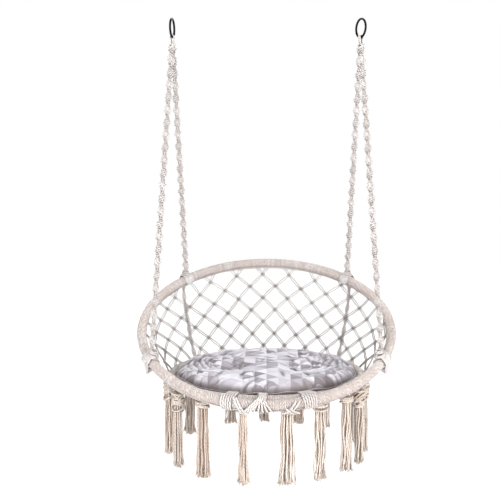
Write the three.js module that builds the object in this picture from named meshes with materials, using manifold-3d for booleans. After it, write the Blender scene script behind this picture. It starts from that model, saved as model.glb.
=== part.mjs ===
// Knotted hammock chair: two cord-wrapped steel hoops, a diamond net between them,
// a sagging seat net, a tufted round cushion, four twisted ropes on two steel rings, and tassels.
// Lengths are in millimetres and angles in degrees. Y is to the rear and Z up. Left and right
// are as seen from the front, so X is to the right.

import * as THREE from "three";
import { mergeVertices } from "three/addons/utils/BufferGeometryUtils.js";
import Module from "manifold-3d";

const wasm = await Module();
wasm.setup();

// Driving dimensions of the hoops
const seatHoopRadius = 293;
const rimHoopRadius = 385;
const rimTilt = 24.1;
const steelTubeRadius = 10;
const coverThickness = 5;
const hoopGap = 2.2;
const rimDrop = 4;
const clearance = 0.3;

// Driving dimensions of the hanging gear
const ringHeight = 1056;
const ringHalfSpan = 283;
const ringSetback = 11.1;
const ringRadius = 27;
const ringWireRadius = 3.3;
const eyeCordRadius = 3.5;
const eyeSlack = 3.2;
const eyeRestGap = 0.6;
const eyeLegLength = 14;
const eyeKnotHalfWidth = 13;
const eyeKnotHalfDepth = 20;
const eyeKnotHalfHeight = 12;
const ropeHalfWidth = 10;
const ropeHalfThickness = 6;
const ropeLump = 38;
const ropePairGap = 1.6;
const rearTailHalfWidth = 7;
const rearTailHalfThickness = 5;
const rearTailLead = 18;

// Driving dimensions of the lashings and knots on the hoops
const frontKnotHalfLength = 32;
const frontKnotHalfHeight = 40;
const frontKnotHalfDepth = 24;
const rearKnotHalfLength = 24;
const rearKnotHalfHeight = 32;
const rearKnotHalfDepth = 22;
const seatKnotHalfLength = 20;
const seatKnotHalfHeight = 24;
const seatKnotHalfDepth = 21;
const lashingCordRadius = 2.5;
const lashingPitch = 5.8;
const lashingGap = 1.3;
const fanSpread = 3.4;

// Driving dimensions of the nets
const netKnotHalfWidth = 5.4;
const netCordHalfDepth = 3.2;
const netKnotCrest = 7.5;
const netEdgeGap = 20;
const seatKnotHalfWidth = 5;
const seatCordHalfDepth = 2.8;
const seatKnotCrest = 5;
const borderGap = 0.4;
const seatSag = 50;

// Driving dimensions of the cushion and tassels
const cushionEdgeGap = 27;
const cushionEdgeHeight = 14;
const cushionCrown = 34;
const cushionRoll = 12;
const tuftDepth = 20;
const tuftRadius = 46;
const tuftCircle = 118;
const tasselRadius = 18;
const tasselLength = 228;
const tasselOverhang = 6;

// Angles from the front of a hoop, positive towards +X
const frontRopeAngle = 61;
const rearRopeAngle = 135;
const rimSeamAngles = [63, 135, 225, 297, 423];
const seatSeamAngles = [20, 130, 230, 340, 380];
const tailAngle = 130;
const swivelLeft = -7;
const swivelRight = 25;
const lashingStartAngles = { left: -21.8, middle: -2.2, right: 17.6 };
const tasselAngles = [-84, -60, -37, -12.5, 11, 30, 50, 67, 86, 108, 139, 158, 181, 204, 238, 256];
const rearAngle = 180;
const rimColumnAngle = 14.3;
const seatColumnAngle = 13.6;
const netHalfAngle = 97;

// Counts
const lashingLoops = 5;
const loopSteps = 14;
const crossingSteps = 2;
const coverSides = 8;
const boreSides = 6;
const cordSides = 5;
const ringSteps = 20;
const eyeArcSteps = 4;
const eyeSteps = 12;
const knotSides = 8;
const knotBands = 6;
const stepsPerLump = 3;
const rimSteps = 40;
const seatSteps = 36;
const netColumns = 14;
const netFirstRow = -3;
const netLastRow = 7;
const straightColumns = 1.2;
const fanColumns = 5;
const columnsPerPanel = 2;
const seatColumns = 16;
const tasselLobes = 5;
const cushionSegments = 36;

const coverRadius = steelTubeRadius + coverThickness;
const radians = THREE.MathUtils.degToRad;
const turn = 2 * Math.PI;
const up = new THREE.Vector3(0, 0, 1);
const weldDistance = 0.0001;

// Materials
function finish(color, roughness, metalness = 0) {
  return new THREE.MeshStandardMaterial({ color, roughness, metalness });
}

const finishes = {
  ring: () => finish(0x1c1d20, 0.25, 0.9),
  steel: () => finish(0x8d9196, 0.45, 0.8),
  cover: () => finish(0xefe6da, 0.9),
  rope: () => finish(0xf1e9dd, 0.9),
  net: () => finish(0xe6dbd2, 0.9),
  tassel: () => finish(0xe9dccb, 0.92),
  cushion: () => finish(0xd3d1d6, 0.95),
};

const chair = new THREE.Group();
const object = new THREE.Group();
object.add(chair);

function place(parent, name, geometry, material) {
  const mesh = new THREE.Mesh(geometry, material);
  mesh.name = name;
  parent.add(mesh);
  return mesh;
}

// A closed body from rings of points, each ring with as many points as the next
function loft(rings) {
  const positions = [];
  const indices = [];
  const count = rings[0].length;
  for (const ring of rings) {
    for (const point of ring) positions.push(point.x, point.y, point.z);
  }
  for (let row = 0; row + 1 < rings.length; row += 1) {
    for (let i = 0; i < count; i += 1) {
      const next = (i + 1) % count;
      const a = row * count + i;
      const b = row * count + next;
      indices.push(a, b, b + count, a, b + count, a + count);
    }
  }
  const last = (rings.length - 1) * count;
  for (let i = 1; i + 1 < count; i += 1) {
    indices.push(0, i + 1, i);
    indices.push(last, last + i, last + i + 1);
  }
  const geometry = new THREE.BufferGeometry();
  geometry.setAttribute("position", new THREE.Float32BufferAttribute(positions, 3));
  geometry.setIndex(indices);
  return facingOut(geometry);
}

function facingOut(geometry) {
  const position = geometry.getAttribute("position");
  const index = geometry.getIndex();
  const a = new THREE.Vector3();
  const b = new THREE.Vector3();
  const c = new THREE.Vector3();
  let volume = 0;
  for (let i = 0; i < index.count; i += 3) {
    a.fromBufferAttribute(position, index.getX(i));
    b.fromBufferAttribute(position, index.getX(i + 1));
    c.fromBufferAttribute(position, index.getX(i + 2));
    volume += a.dot(b.cross(c));
  }
  if (volume < 0) {
    for (let i = 0; i < index.count; i += 3) {
      const first = index.getX(i);
      index.setX(i, index.getX(i + 1));
      index.setX(i + 1, first);
    }
  }
  return geometry;
}

// Joining and cutting
function toSolid(geometry) {
  const bare = geometry.clone();
  bare.deleteAttribute("normal");
  bare.deleteAttribute("uv");
  const merged = mergeVertices(bare, weldDistance);
  return new wasm.Manifold(new wasm.Mesh({
    numProp: 3,
    vertProperties: new Float32Array(merged.getAttribute("position").array),
    triVerts: new Uint32Array(merged.getIndex().array),
  }));
}

function toGeometry(solid) {
  const mesh = solid.getMesh();
  const geometry = new THREE.BufferGeometry();
  geometry.setAttribute("position", new THREE.BufferAttribute(new Float32Array(mesh.vertProperties), 3));
  geometry.setIndex(new THREE.BufferAttribute(new Uint32Array(mesh.triVerts), 1));
  return geometry;
}

function without(solid, cutters) {
  return cutters.reduce((rest, cutter) => rest.subtract(cutter), solid);
}

// Hoops, each in its own frame with its centreline in the XY plane
function makeHoop(radius, steps) {
  const group = new THREE.Group();
  chair.add(group);
  return { radius, steps, group };
}

class HoopArc extends THREE.Curve {
  constructor(radius, start, end) {
    super();
    this.radius = radius;
    this.start = start;
    this.end = end;
  }

  getPoint(share, target = new THREE.Vector3()) {
    const angle = radians(THREE.MathUtils.lerp(this.start, this.end, share));
    return target.set(this.radius * Math.sin(angle), -this.radius * Math.cos(angle), 0);
  }
}

function polygonPoints(radius, sides) {
  const points = [];
  for (let i = 0; i < sides; i += 1) {
    const angle = (turn * i) / sides;
    points.push(new THREE.Vector2(radius * Math.cos(angle), radius * Math.sin(angle)));
  }
  return points;
}

function arcTube(hoop, start, end, steps, radius, boreRadius) {
  const section = new THREE.Shape(polygonPoints(radius, coverSides));
  if (boreRadius) section.holes.push(new THREE.Path(polygonPoints(boreRadius, boreSides)));
  const extrudePath = new HoopArc(hoop.radius, start, end);
  return new THREE.ExtrudeGeometry(section, { steps, bevelEnabled: false, extrudePath });
}

const seatHoop = makeHoop(seatHoopRadius, seatSteps);
const rimHoop = makeHoop(rimHoopRadius, rimSteps);
const rimFront = new THREE.Vector3(0, -(seatHoopRadius + 2 * coverRadius + hoopGap), -rimDrop);
rimHoop.group.rotation.x = radians(rimTilt);
rimHoop.group.position.set(
  0,
  rimFront.y + rimHoopRadius * Math.cos(radians(rimTilt)),
  rimFront.z + rimHoopRadius * Math.sin(radians(rimTilt)),
);
seatHoop.group.updateMatrix();
rimHoop.group.updateMatrix();

function hoopPoint(hoop, angle) {
  const a = radians(angle);
  const point = new THREE.Vector3(hoop.radius * Math.sin(a), -hoop.radius * Math.cos(a), 0);
  return point.applyMatrix4(hoop.group.matrix);
}

function hoopTangent(hoop, angle) {
  const a = radians(angle);
  return new THREE.Vector3(Math.cos(a), Math.sin(a), 0).transformDirection(hoop.group.matrix);
}

function hoopCutter(hoop) {
  const ring = new THREE.TorusGeometry(hoop.radius, coverRadius + clearance, coverSides, hoop.steps);
  return toSolid(ring.applyMatrix4(hoop.group.matrix));
}

function addHoop(name, hoop, seamAngles, coverNames) {
  const core = new THREE.TorusGeometry(hoop.radius, steelTubeRadius, boreSides, hoop.steps);
  place(hoop.group, `${name}_hoop`, core, finishes.steel());
  const boreRadius = (steelTubeRadius + clearance) / Math.cos(Math.PI / boreSides);
  const endTrim = THREE.MathUtils.radToDeg(clearance / hoop.radius) / 2;
  coverNames.forEach((coverName, i) => {
    const start = seamAngles[i];
    const end = seamAngles[i + 1];
    const steps = Math.round(((end - start) / 360) * hoop.steps);
    const cover = arcTube(hoop, start + endTrim, end - endTrim, steps, coverRadius, boreRadius);
    place(hoop.group, `${name}_cover_${coverName}`, cover, finishes.cover());
  });
}

addHoop("seat", seatHoop, seatSeamAngles, ["right", "rear", "left", "front"]);
addHoop("rim", rimHoop, rimSeamAngles, ["right", "rear", "left", "front"]);
const seatCutter = hoopCutter(seatHoop);
const rimCutter = hoopCutter(rimHoop);

// A lump of knotted cord round a hoop, longest along the rope that it holds
function basisFor(along, towards) {
  const height = towards.clone().addScaledVector(along, -towards.dot(along)).normalize();
  const depth = new THREE.Vector3().crossVectors(along, height);
  return new THREE.Matrix4().makeBasis(along, height, depth);
}

function knotShape(centre, basis, halfSizes) {
  const ball = new THREE.SphereGeometry(1, knotSides, knotBands);
  const shape = basis.clone().scale(halfSizes).setPosition(centre);
  return { geometry: ball.applyMatrix4(shape), centre, basis, halfSizes };
}

// The distance from a knot's centre to a plane across the direction that just touches it
function reach(knot, direction) {
  const local = direction.clone().transformDirection(knot.basis.clone().invert());
  return local.multiply(knot.halfSizes).length();
}

function grown(knot) {
  const size = knot.halfSizes.clone().addScalar(clearance);
  return toSolid(knotShape(knot.centre, knot.basis, size).geometry);
}

function hoopKnot(hoop, angle, towards, halfSizes) {
  const centre = hoopPoint(hoop, angle);
  return knotShape(centre, basisFor(hoopTangent(hoop, angle), towards), halfSizes);
}

// Steel rings and the rope eyes that hang on them
const ringCentres = {
  left: new THREE.Vector3(-ringHalfSpan, ringSetback, ringHeight),
  right: new THREE.Vector3(ringHalfSpan, ringSetback, ringHeight),
};
const ringSwivels = { left: swivelLeft, right: swivelRight };
const eyeKnots = {};

function addRing(side) {
  const ring = new THREE.TorusGeometry(ringRadius, ringWireRadius, boreSides, ringSteps);
  ring.rotateX(Math.PI / 2);
  ring.rotateZ(Math.PI / 2);
  const mesh = place(chair, `hanging_ring_${side}`, ring, finishes.ring());
  mesh.position.copy(ringCentres[side]);
  mesh.rotation.z = radians(ringSwivels[side]);
}

// An eye is a slack cord loop over the ring's lower wire, drawn into a knot below it
function eyePath() {
  const halfWidth = ringWireRadius + eyeSlack + eyeCordRadius;
  const arcHeight = -ringRadius + ringWireRadius + eyeRestGap + eyeCordRadius - halfWidth;
  const legEnd = new THREE.Vector3(halfWidth / 2, 0, -ringRadius - ringWireRadius - eyeLegLength);
  const points = [new THREE.Vector3(-legEnd.x, 0, legEnd.z - eyeCordRadius)];
  for (let i = 0; i <= eyeArcSteps; i += 1) {
    const angle = Math.PI * (1 - i / eyeArcSteps);
    points.push(new THREE.Vector3(halfWidth * Math.cos(angle), 0, arcHeight + halfWidth * Math.sin(angle)));
  }
  points.push(new THREE.Vector3(legEnd.x, 0, legEnd.z - eyeCordRadius));
  return new THREE.CatmullRomCurve3(points);
}

function addEye(side) {
  const section = new THREE.Shape(polygonPoints(eyeCordRadius, boreSides));
  const extrudePath = eyePath();
  const loop = new THREE.ExtrudeGeometry(section, { steps: eyeSteps, bevelEnabled: false, extrudePath });
  loop.rotateZ(radians(ringSwivels[side]));
  loop.translate(...ringCentres[side].toArray());
  const drop = ringRadius + ringWireRadius + eyeLegLength + eyeKnotHalfHeight;
  const centre = ringCentres[side].clone().addScaledVector(up, -drop);
  const halfSizes = new THREE.Vector3(eyeKnotHalfWidth, eyeKnotHalfDepth, eyeKnotHalfHeight);
  const knot = knotShape(centre, new THREE.Matrix4(), halfSizes);
  eyeKnots[side] = knot;
  place(chair, `rope_eye_${side}`, toGeometry(toSolid(loop).add(toSolid(knot.geometry))), finishes.rope());
}

// A rope of half knots: a flat section that turns steadily about the rope's line
function twistedRope(curve, halfWidth, halfThickness, lump) {
  const length = curve.getLength();
  const steps = Math.round((length / lump) * stepsPerLump);
  const rings = [];
  for (let step = 0; step <= steps; step += 1) {
    const share = step / steps;
    const centre = curve.getPointAt(share);
    const tangent = curve.getTangentAt(share);
    const across = new THREE.Vector3(1, 0, 0).addScaledVector(tangent, -tangent.x).normalize();
    const beside = new THREE.Vector3().crossVectors(tangent, across);
    const twist = (Math.PI * share * length) / lump;
    const ring = [];
    for (let i = 0; i < boreSides; i += 1) {
      const angle = (turn * i) / boreSides;
      const flat = new THREE.Vector2(halfWidth * Math.cos(angle), halfThickness * Math.sin(angle));
      flat.rotateAround(new THREE.Vector2(), twist);
      ring.push(centre.clone().addScaledVector(across, flat.x).addScaledVector(beside, flat.y));
    }
    rings.push(ring);
  }
  return loft(rings);
}

function addRope(name, topKnot, side, hoopAngle, halfSizes) {
  const hoopEnd = hoopPoint(rimHoop, hoopAngle);
  const sideStep = Math.sign(side) * (ropeHalfWidth + ropePairGap / 2);
  const top = topKnot.centre.clone().add(new THREE.Vector3(0, sideStep, 0));
  const direction = hoopEnd.clone().sub(top).normalize();
  const knot = hoopKnot(rimHoop, hoopAngle, direction.clone().negate(), halfSizes);
  const start = top.clone().addScaledVector(direction, eyeKnotHalfHeight / 3);
  const line = new THREE.LineCurve3(start, hoopEnd);
  const rope = toSolid(twistedRope(line, ropeHalfWidth, ropeHalfThickness, ropeLump));
  place(chair, `rope_${name}`, toGeometry(without(rope, [topKnot, knot].map(grown))), finishes.rope());
  return knot;
}

// The rear ropes go on from the rim to the seat hoop, slack behind the net
function outwardAt(angle) {
  const rise = hoopPoint(rimHoop, angle).sub(hoopPoint(seatHoop, angle));
  return new THREE.Vector3().crossVectors(hoopTangent(seatHoop, angle), rise).normalize();
}

function addRearTail(side, rimAngle, seatAngle, rimKnot, seatKnot) {
  const fall = hoopPoint(seatHoop, seatAngle).sub(hoopPoint(rimHoop, rimAngle)).normalize();
  const outward = outwardAt(seatAngle);
  const leave = outward.clone().add(fall).normalize();
  const arrive = outward.clone().sub(fall).normalize();
  const startReach = reach(rimKnot, leave) - rearTailHalfThickness;
  const endReach = reach(seatKnot, arrive) - rearTailHalfThickness;
  const start = rimKnot.centre.clone().addScaledVector(leave, startReach);
  const end = seatKnot.centre.clone().addScaledVector(arrive, endReach);
  const first = start.clone().addScaledVector(leave, rearTailLead);
  const second = end.clone().addScaledVector(arrive, rearTailLead);
  const curve = new THREE.CubicBezierCurve3(start, first, second, end);
  const tail = toSolid(twistedRope(curve, rearTailHalfWidth, rearTailHalfThickness, ropeLump));
  place(chair, `rear_tail_${side}`, toGeometry(without(tail, [rimKnot, seatKnot].map(grown))), finishes.rope());
}

const frontKnotSize = new THREE.Vector3(frontKnotHalfLength, frontKnotHalfHeight, frontKnotHalfDepth);
const rearKnotSize = new THREE.Vector3(rearKnotHalfLength, rearKnotHalfHeight, rearKnotHalfDepth);
const seatKnotSize = new THREE.Vector3(seatKnotHalfLength, seatKnotHalfHeight, seatKnotHalfDepth);
const rimKnots = [];
const seatKnots = [];

for (const side of ["left", "right"]) {
  const sign = side === "left" ? -1 : 1;
  addRing(side);
  addEye(side);
  const front = addRope(`front_${side}`, eyeKnots[side], -1, sign * frontRopeAngle, frontKnotSize);
  const rear = addRope(`rear_${side}`, eyeKnots[side], 1, sign * rearRopeAngle, rearKnotSize);
  const rise = hoopPoint(rimHoop, sign * rearRopeAngle).sub(hoopPoint(seatHoop, sign * tailAngle));
  const seat = hoopKnot(seatHoop, sign * tailAngle, rise, seatKnotSize);
  place(chair, `front_lashing_${side}`, toGeometry(toSolid(front.geometry).subtract(rimCutter)), finishes.rope());
  place(chair, `rear_lashing_${side}`, toGeometry(toSolid(rear.geometry).subtract(rimCutter)), finishes.rope());
  place(chair, `seat_lashing_${side}`, toGeometry(toSolid(seat.geometry).subtract(seatCutter)), finishes.rope());
  addRearTail(side, sign * rearRopeAngle, sign * tailAngle, rear, seat);
  rimKnots.push(front, rear);
  seatKnots.push(seat);
}

// A net of flat-sided cords. A knot has four corners, up, right, down and left, and each pair
// of neighbouring corners is a port for one cord, so that cords and knots share their vertices.
function makeNet() {
  const positions = [];
  const indices = [];

  function vertex(point) {
    positions.push(point.x, point.y, point.z);
    return positions.length / 3 - 1;
  }

  function quad(a, b, c, d) {
    indices.push(a, b, c, a, c, d);
  }

  function cap(port) {
    quad(port.front[0], port.front[1], port.back[1], port.back[0]);
  }

  function portOf(knot, number) {
    const next = (number + 1) % 4;
    return {
      front: [knot.front[number], knot.front[next]],
      back: [knot.back[number], knot.back[next]],
    };
  }

  function cord(from, to) {
    quad(from.front[0], from.front[1], to.front[0], to.front[1]);
    quad(from.back[0], to.back[1], to.back[0], from.back[1]);
    quad(from.front[0], to.front[1], to.back[1], from.back[0]);
    quad(to.front[0], from.front[1], from.back[1], to.back[0]);
  }

  function knot(shape) {
    const corners = knotCorners(shape);
    const front = corners.map((corner) => vertex(corner.clone().add(shape.out)));
    const back = corners.map((corner) => vertex(corner.clone().sub(shape.out)));
    const frontCrest = vertex(shape.centre.clone().addScaledVector(shape.out, shape.crestShare));
    const backCrest = vertex(shape.centre.clone().addScaledVector(shape.out, -shape.crestShare));
    for (let i = 0; i < 4; i += 1) {
      const next = (i + 1) % 4;
      indices.push(front[next], front[i], frontCrest);
      indices.push(back[i], back[next], backCrest);
    }
    return { front, back, isTied: [false, false, false, false] };
  }

  function tie(lower, number, upper, upperNumber = (number + 2) % 4) {
    cord(portOf(lower, number), portOf(upper, upperNumber));
    lower.isTied[number] = true;
    upper.isTied[upperNumber] = true;
  }

  // A cord that ends free: ends holds its last right and left corners, seen along the cord
  function leg(from, number, ends, out) {
    const front = ends.map((end) => vertex(end.clone().add(out)));
    const back = ends.map((end) => vertex(end.clone().sub(out)));
    cord(portOf(from, number), { front, back });
    cap({ front: [front[1], front[0]], back: [back[1], back[0]] });
    from.isTied[number] = true;
  }

  function closeKnot(tied) {
    tied.isTied.forEach((isTied, number) => {
      if (!isTied) cap(portOf(tied, number));
    });
  }

  function geometry() {
    const shape = new THREE.BufferGeometry();
    shape.setAttribute("position", new THREE.Float32BufferAttribute(positions, 3));
    shape.setIndex(indices);
    return facingOut(shape);
  }

  return { knot, tie, leg, closeKnot, geometry };
}

function knotCorners({ centre, right, rise }) {
  return [
    centre.clone().add(rise),
    centre.clone().add(right),
    centre.clone().sub(rise),
    centre.clone().sub(right),
  ];
}

function knotShapeAt(centre, right, rise, sizes) {
  const out = new THREE.Vector3().crossVectors(right, rise);
  return {
    centre,
    right: right.clone().setLength(sizes.halfWidth),
    rise: rise.clone().setLength(sizes.halfWidth),
    out: out.setLength(sizes.halfDepth),
    crestShare: sizes.crest / sizes.halfDepth,
  };
}

// Back net between the rear halves of the hoops, tied in panels of two columns. Away from the
// rear its columns fan out and its rows rise, so that the rim cuts off the upper rows.
const backSizes = { halfWidth: netKnotHalfWidth, halfDepth: netCordHalfDepth, crest: netKnotCrest };
const netShiftShare = 0.355;
const netStartShare = -0.027;
const netRowShare = 0.129;
const startFan = { lean: -0.036, bend: 0.403 };
const rowFan = { lean: -0.029, bend: 0.085 };
const seatFan = { lean: 1.6, bend: 16.5 };
const rimFan = { lean: 2.8, bend: 6.6 };
const rimLegShare = 0.33;
const seatLegShare = 0.45;

function netOffset(column) {
  return column - netColumns / 2 + netShiftShare;
}

function fanned(column, { lean, bend }) {
  const share = Math.max(Math.abs(netOffset(column)) - straightColumns, 0) / fanColumns;
  return share * (lean + bend * share);
}

function netLine(column) {
  const offset = netOffset(column);
  const seatTurn = seatColumnAngle * offset + Math.sign(offset) * fanned(column, seatFan);
  const rimTurn = rimColumnAngle * offset + Math.sign(offset) * fanned(column, rimFan);
  const low = hoopPoint(seatHoop, rearAngle - seatTurn);
  const high = hoopPoint(rimHoop, rearAngle - rimTurn);
  return { low, high, seatTurn, rimTurn };
}

function rowShare(column) {
  return netRowShare + fanned(column, rowFan);
}

function netShare(column, row) {
  return netStartShare + fanned(column, startFan) + row * rowShare(column);
}

function netPoint(column, row) {
  const { low, high } = netLine(column);
  return low.lerp(high, netShare(column, row));
}

function isPastSide(column, row) {
  const { seatTurn, rimTurn } = netLine(column);
  return Math.abs(THREE.MathUtils.lerp(seatTurn, rimTurn, netShare(column, row))) > netHalfAngle;
}

function isOnNet(column, row) {
  const { low, high } = netLine(column);
  const length = low.distanceTo(high);
  const height = netShare(column, row) * length;
  return !isPastSide(column, row) && height > netEdgeGap && height < length - netEdgeGap;
}

function netKnotShape(column, row) {
  const right = netPoint(column + 0.5, row).sub(netPoint(column - 0.5, row));
  const { low, high } = netLine(column);
  return knotShapeAt(netPoint(column, row), right, high.sub(low), backSizes);
}

function knotKey(column, row) {
  return `${column},${row}`;
}

function panelKnots(net, firstColumn) {
  const knots = new Map();
  const lastColumn = firstColumn + columnsPerPanel;
  for (let row = netFirstRow; row <= netLastRow; row += 1) {
    const start = row % 2 ? firstColumn + 0.5 : firstColumn;
    for (let column = start; column <= lastColumn; column += 1) {
      const isHeldByNeighbour = column === firstColumn && firstColumn > 0;
      if (isHeldByNeighbour || !isOnNet(column, row)) continue;
      knots.set(knotKey(column, row), net.knot(netKnotShape(column, row)));
    }
  }
  return knots;
}

// The four ways that cords leave a knot, by port, and the neighbour that each leads to
const ways = [
  { number: 0, across: 0.5, up: 1 },
  { number: 1, across: 0.5, up: -1 },
  { number: 2, across: -0.5, up: -1 },
  { number: 3, across: -0.5, up: 1 },
];

// The cords that reach a knot of the panel before end just short of it
function borderLeg(net, knot, column, row, way) {
  const border = netKnotShape(column + way.across, row + way.up);
  const corners = knotCorners(border);
  const ends = way.up > 0 ? [corners[1], corners[2]] : [corners[0], corners[1]];
  const back = netPoint(column, row).sub(border.centre).setLength(borderGap);
  net.leg(knot, way.number, ends.map((end) => end.clone().add(back)), border.out);
}

function hoopLeg(net, knot, column, row, way) {
  const isTop = way.up > 0;
  const share = netShare(column, row);
  const rest = (isTop ? 1 - share : share) / rowShare(column);
  const legShare = (isTop ? rimLegShare : seatLegShare) * Math.min(rest, 1);
  const line = netLine(column + 2 * way.across * legShare);
  const end = isTop ? line.high : line.low;
  const { right, out } = netKnotShape(column, row);
  const half = right.clone().setLength(netKnotHalfWidth * Math.SQRT1_2);
  const edges = [end.clone().add(half), end.clone().sub(half)];
  net.leg(knot, way.number, isTop ? edges : edges.reverse(), out);
}

// At a side edge, a cord turns back to the knot two rows on, or else goes to the hoop
function edgeLeg(net, knots, column, row, way) {
  const knot = knots.get(knotKey(column, row));
  const turned = knots.get(knotKey(column, row + 2 * way.up));
  if (!turned) hoopLeg(net, knot, column, row, way);
  else if (way.up > 0) net.tie(knot, way.number, turned, way.across > 0 ? 1 : 2);
}

function backPanel(firstColumn) {
  const net = makeNet();
  const knots = panelKnots(net, firstColumn);
  for (const [key, knot] of knots) {
    const [column, row] = key.split(",").map(Number);
    for (const way of ways) {
      const next = [column + way.across, row + way.up];
      const neighbour = knots.get(knotKey(...next));
      if (neighbour) {
        if (way.up > 0) net.tie(knot, way.number, neighbour);
      } else if (isOnNet(...next)) {
        if (next[0] === firstColumn) borderLeg(net, knot, column, row, way);
      } else if (isPastSide(...next)) {
        edgeLeg(net, knots, column, row, way);
      } else {
        hoopLeg(net, knot, column, row, way);
      }
    }
  }
  for (const knot of knots.values()) net.closeKnot(knot);
  return toSolid(net.geometry());
}

function addBackNet() {
  const knotCutters = rimKnots.concat(seatKnots).map(grown);
  for (let column = 0; column < netColumns; column += columnsPerPanel) {
    const panel = without(backPanel(column), [seatCutter, rimCutter, ...knotCutters]);
    place(chair, `back_net_${column / columnsPerPanel + 1}`, toGeometry(panel), finishes.net());
  }
}

addBackNet();

// Seat net: a diamond net that hangs like a bowl in the lower hoop, open at its centre
const seatSizes = { halfWidth: seatKnotHalfWidth, halfDepth: seatCordHalfDepth, crest: seatKnotCrest };
const seatRowShares = [1, 0.76, 0.5, 0.24];
const bowlLegShare = 0.2;

function bowlHeight(radius) {
  return -seatSag * (1 - (radius / seatHoopRadius) ** 2);
}

function bowlPoint(column, row) {
  const angle = (turn * column) / seatColumns;
  const radius = seatRowShares[row] * seatHoopRadius;
  return new THREE.Vector3(radius * Math.sin(angle), -radius * Math.cos(angle), bowlHeight(radius));
}

function bowlKnotShape(column, row) {
  const right = bowlPoint(column + 0.5, row).sub(bowlPoint(column - 0.5, row));
  const rise = bowlPoint(column, row - 1).sub(bowlPoint(column, row));
  return knotShapeAt(bowlPoint(column, row), right, rise, seatSizes);
}

function addSeatNet() {
  const net = makeNet();
  const rows = [];
  for (let row = seatRowShares.length - 1; row > 0; row -= 1) {
    const shift = (row % 2) / 2;
    const knots = [];
    for (let i = 0; i < seatColumns; i += 1) knots.push(net.knot(bowlKnotShape(i + shift, row)));
    rows[row] = { knots, shift };
  }
  for (let row = seatRowShares.length - 1; row > 0; row -= 1) {
    const { knots, shift } = rows[row];
    knots.forEach((knot, i) => {
      if (row > 1) {
        const above = rows[row - 1].knots;
        const first = shift ? i : i + seatColumns - 1;
        net.tie(knot, 3, above[first % seatColumns]);
        net.tie(knot, 0, above[(first + 1) % seatColumns]);
        return;
      }
      for (const side of [-1, 1]) {
        const column = i + shift + side * bowlLegShare;
        const { right, out } = bowlKnotShape(i + shift, row);
        const half = right.clone().setLength(seatKnotHalfWidth * Math.SQRT1_2);
        const end = bowlPoint(column, 0);
        net.leg(knot, side > 0 ? 0 : 3, [end.clone().add(half), end.clone().sub(half)], out);
      }
    });
  }
  for (const { knots } of rows.filter(Boolean)) knots.forEach(net.closeKnot);
  const seatNet = without(toSolid(net.geometry()), [seatCutter, ...seatKnots.map(grown)]);
  place(chair, "seat_net", toGeometry(seatNet), finishes.net());
}

addSeatNet();

// Front lashings: one unbroken cord wound round both hoops, each loop beside the last
function bandAt(angle) {
  const seat = hoopPoint(seatHoop, angle);
  const rimAngle = THREE.MathUtils.radToDeg(Math.asin(seat.x / rimHoopRadius));
  const rim = hoopPoint(rimHoop, rimAngle);
  const along = hoopTangent(seatHoop, angle).add(hoopTangent(rimHoop, rimAngle)).normalize();
  const across = rim.clone().sub(seat);
  across.addScaledVector(along, -across.dot(along));
  const gap = across.length();
  across.normalize();
  return { seat, along, across, over: new THREE.Vector3().crossVectors(along, across), gap };
}

function windingPoint(startAngle, loop, fan) {
  const pitchAngle = THREE.MathUtils.radToDeg(lashingPitch / seatHoopRadius);
  const band = bandAt(startAngle + loop * pitchAngle);
  const halfArc = loopSteps / 2 - crossingSteps;
  const radius = (coverRadius + lashingGap + lashingCordRadius) / Math.cos(Math.PI / halfArc / 2);
  const step = (loop % 1) * loopSteps;
  let angle = 0;
  let slide = 0;
  if (step <= halfArc) {
    angle = (Math.PI * step) / halfArc;
    slide = 1;
  } else if (step <= loopSteps / 2) {
    angle = Math.PI;
    slide = 1 - (step - halfArc) / crossingSteps;
  } else if (step <= loopSteps / 2 + halfArc) {
    angle = Math.PI + (Math.PI * (step - loopSteps / 2)) / halfArc;
  } else {
    angle = turn;
    slide = (step - loopSteps / 2 - halfArc) / crossingSteps;
  }
  const lean = fan * (loop - lashingLoops / 2) * (1 + Math.cos(angle - Math.PI / 4)) / 2;
  return band.seat
    .addScaledVector(band.across, band.gap * slide + radius * Math.sin(angle))
    .addScaledVector(band.over, -radius * Math.cos(angle))
    .addScaledVector(band.along, lean);
}

function leastGap(points, cordRadius) {
  let least = Infinity;
  for (let i = 0; i < points.length; i += 1) {
    for (let j = i + loopSteps / 2; j < points.length; j += 1) {
      least = Math.min(least, points[i].distanceTo(points[j]));
    }
  }
  return least - 2 * cordRadius;
}

function tubeThrough(points, radius, sides) {
  const rings = [];
  let across = new THREE.Vector3();
  points.forEach((point, i) => {
    const before = points[Math.max(i - 1, 0)];
    const after = points[Math.min(i + 1, points.length - 1)];
    const tangent = after.clone().sub(before).normalize();
    if (i === 0) across.set(tangent.y, -tangent.x, 0);
    if (across.lengthSq() === 0) across.set(1, 0, 0);
    across = across.clone().addScaledVector(tangent, -across.dot(tangent)).normalize();
    const beside = new THREE.Vector3().crossVectors(tangent, across);
    rings.push(polygonPoints(radius, sides).map((corner) => point.clone()
      .addScaledVector(across, corner.x)
      .addScaledVector(beside, corner.y)));
  });
  return loft(rings);
}

function addFrontLashing(side, fan) {
  const points = [];
  for (let i = 0; i <= lashingLoops * loopSteps; i += 1) {
    points.push(windingPoint(lashingStartAngles[side], i / loopSteps, fan));
  }
  const gap = leastGap(points, lashingCordRadius);
  console.log(`hoop_lashing_${side}: least gap between turns ${gap.toFixed(2)} mm`);
  place(chair, `hoop_lashing_${side}`, tubeThrough(points, lashingCordRadius, cordSides), finishes.rope());
}

addFrontLashing("left", 0);
addFrontLashing("middle", fanSpread);
addFrontLashing("right", 0);

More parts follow.
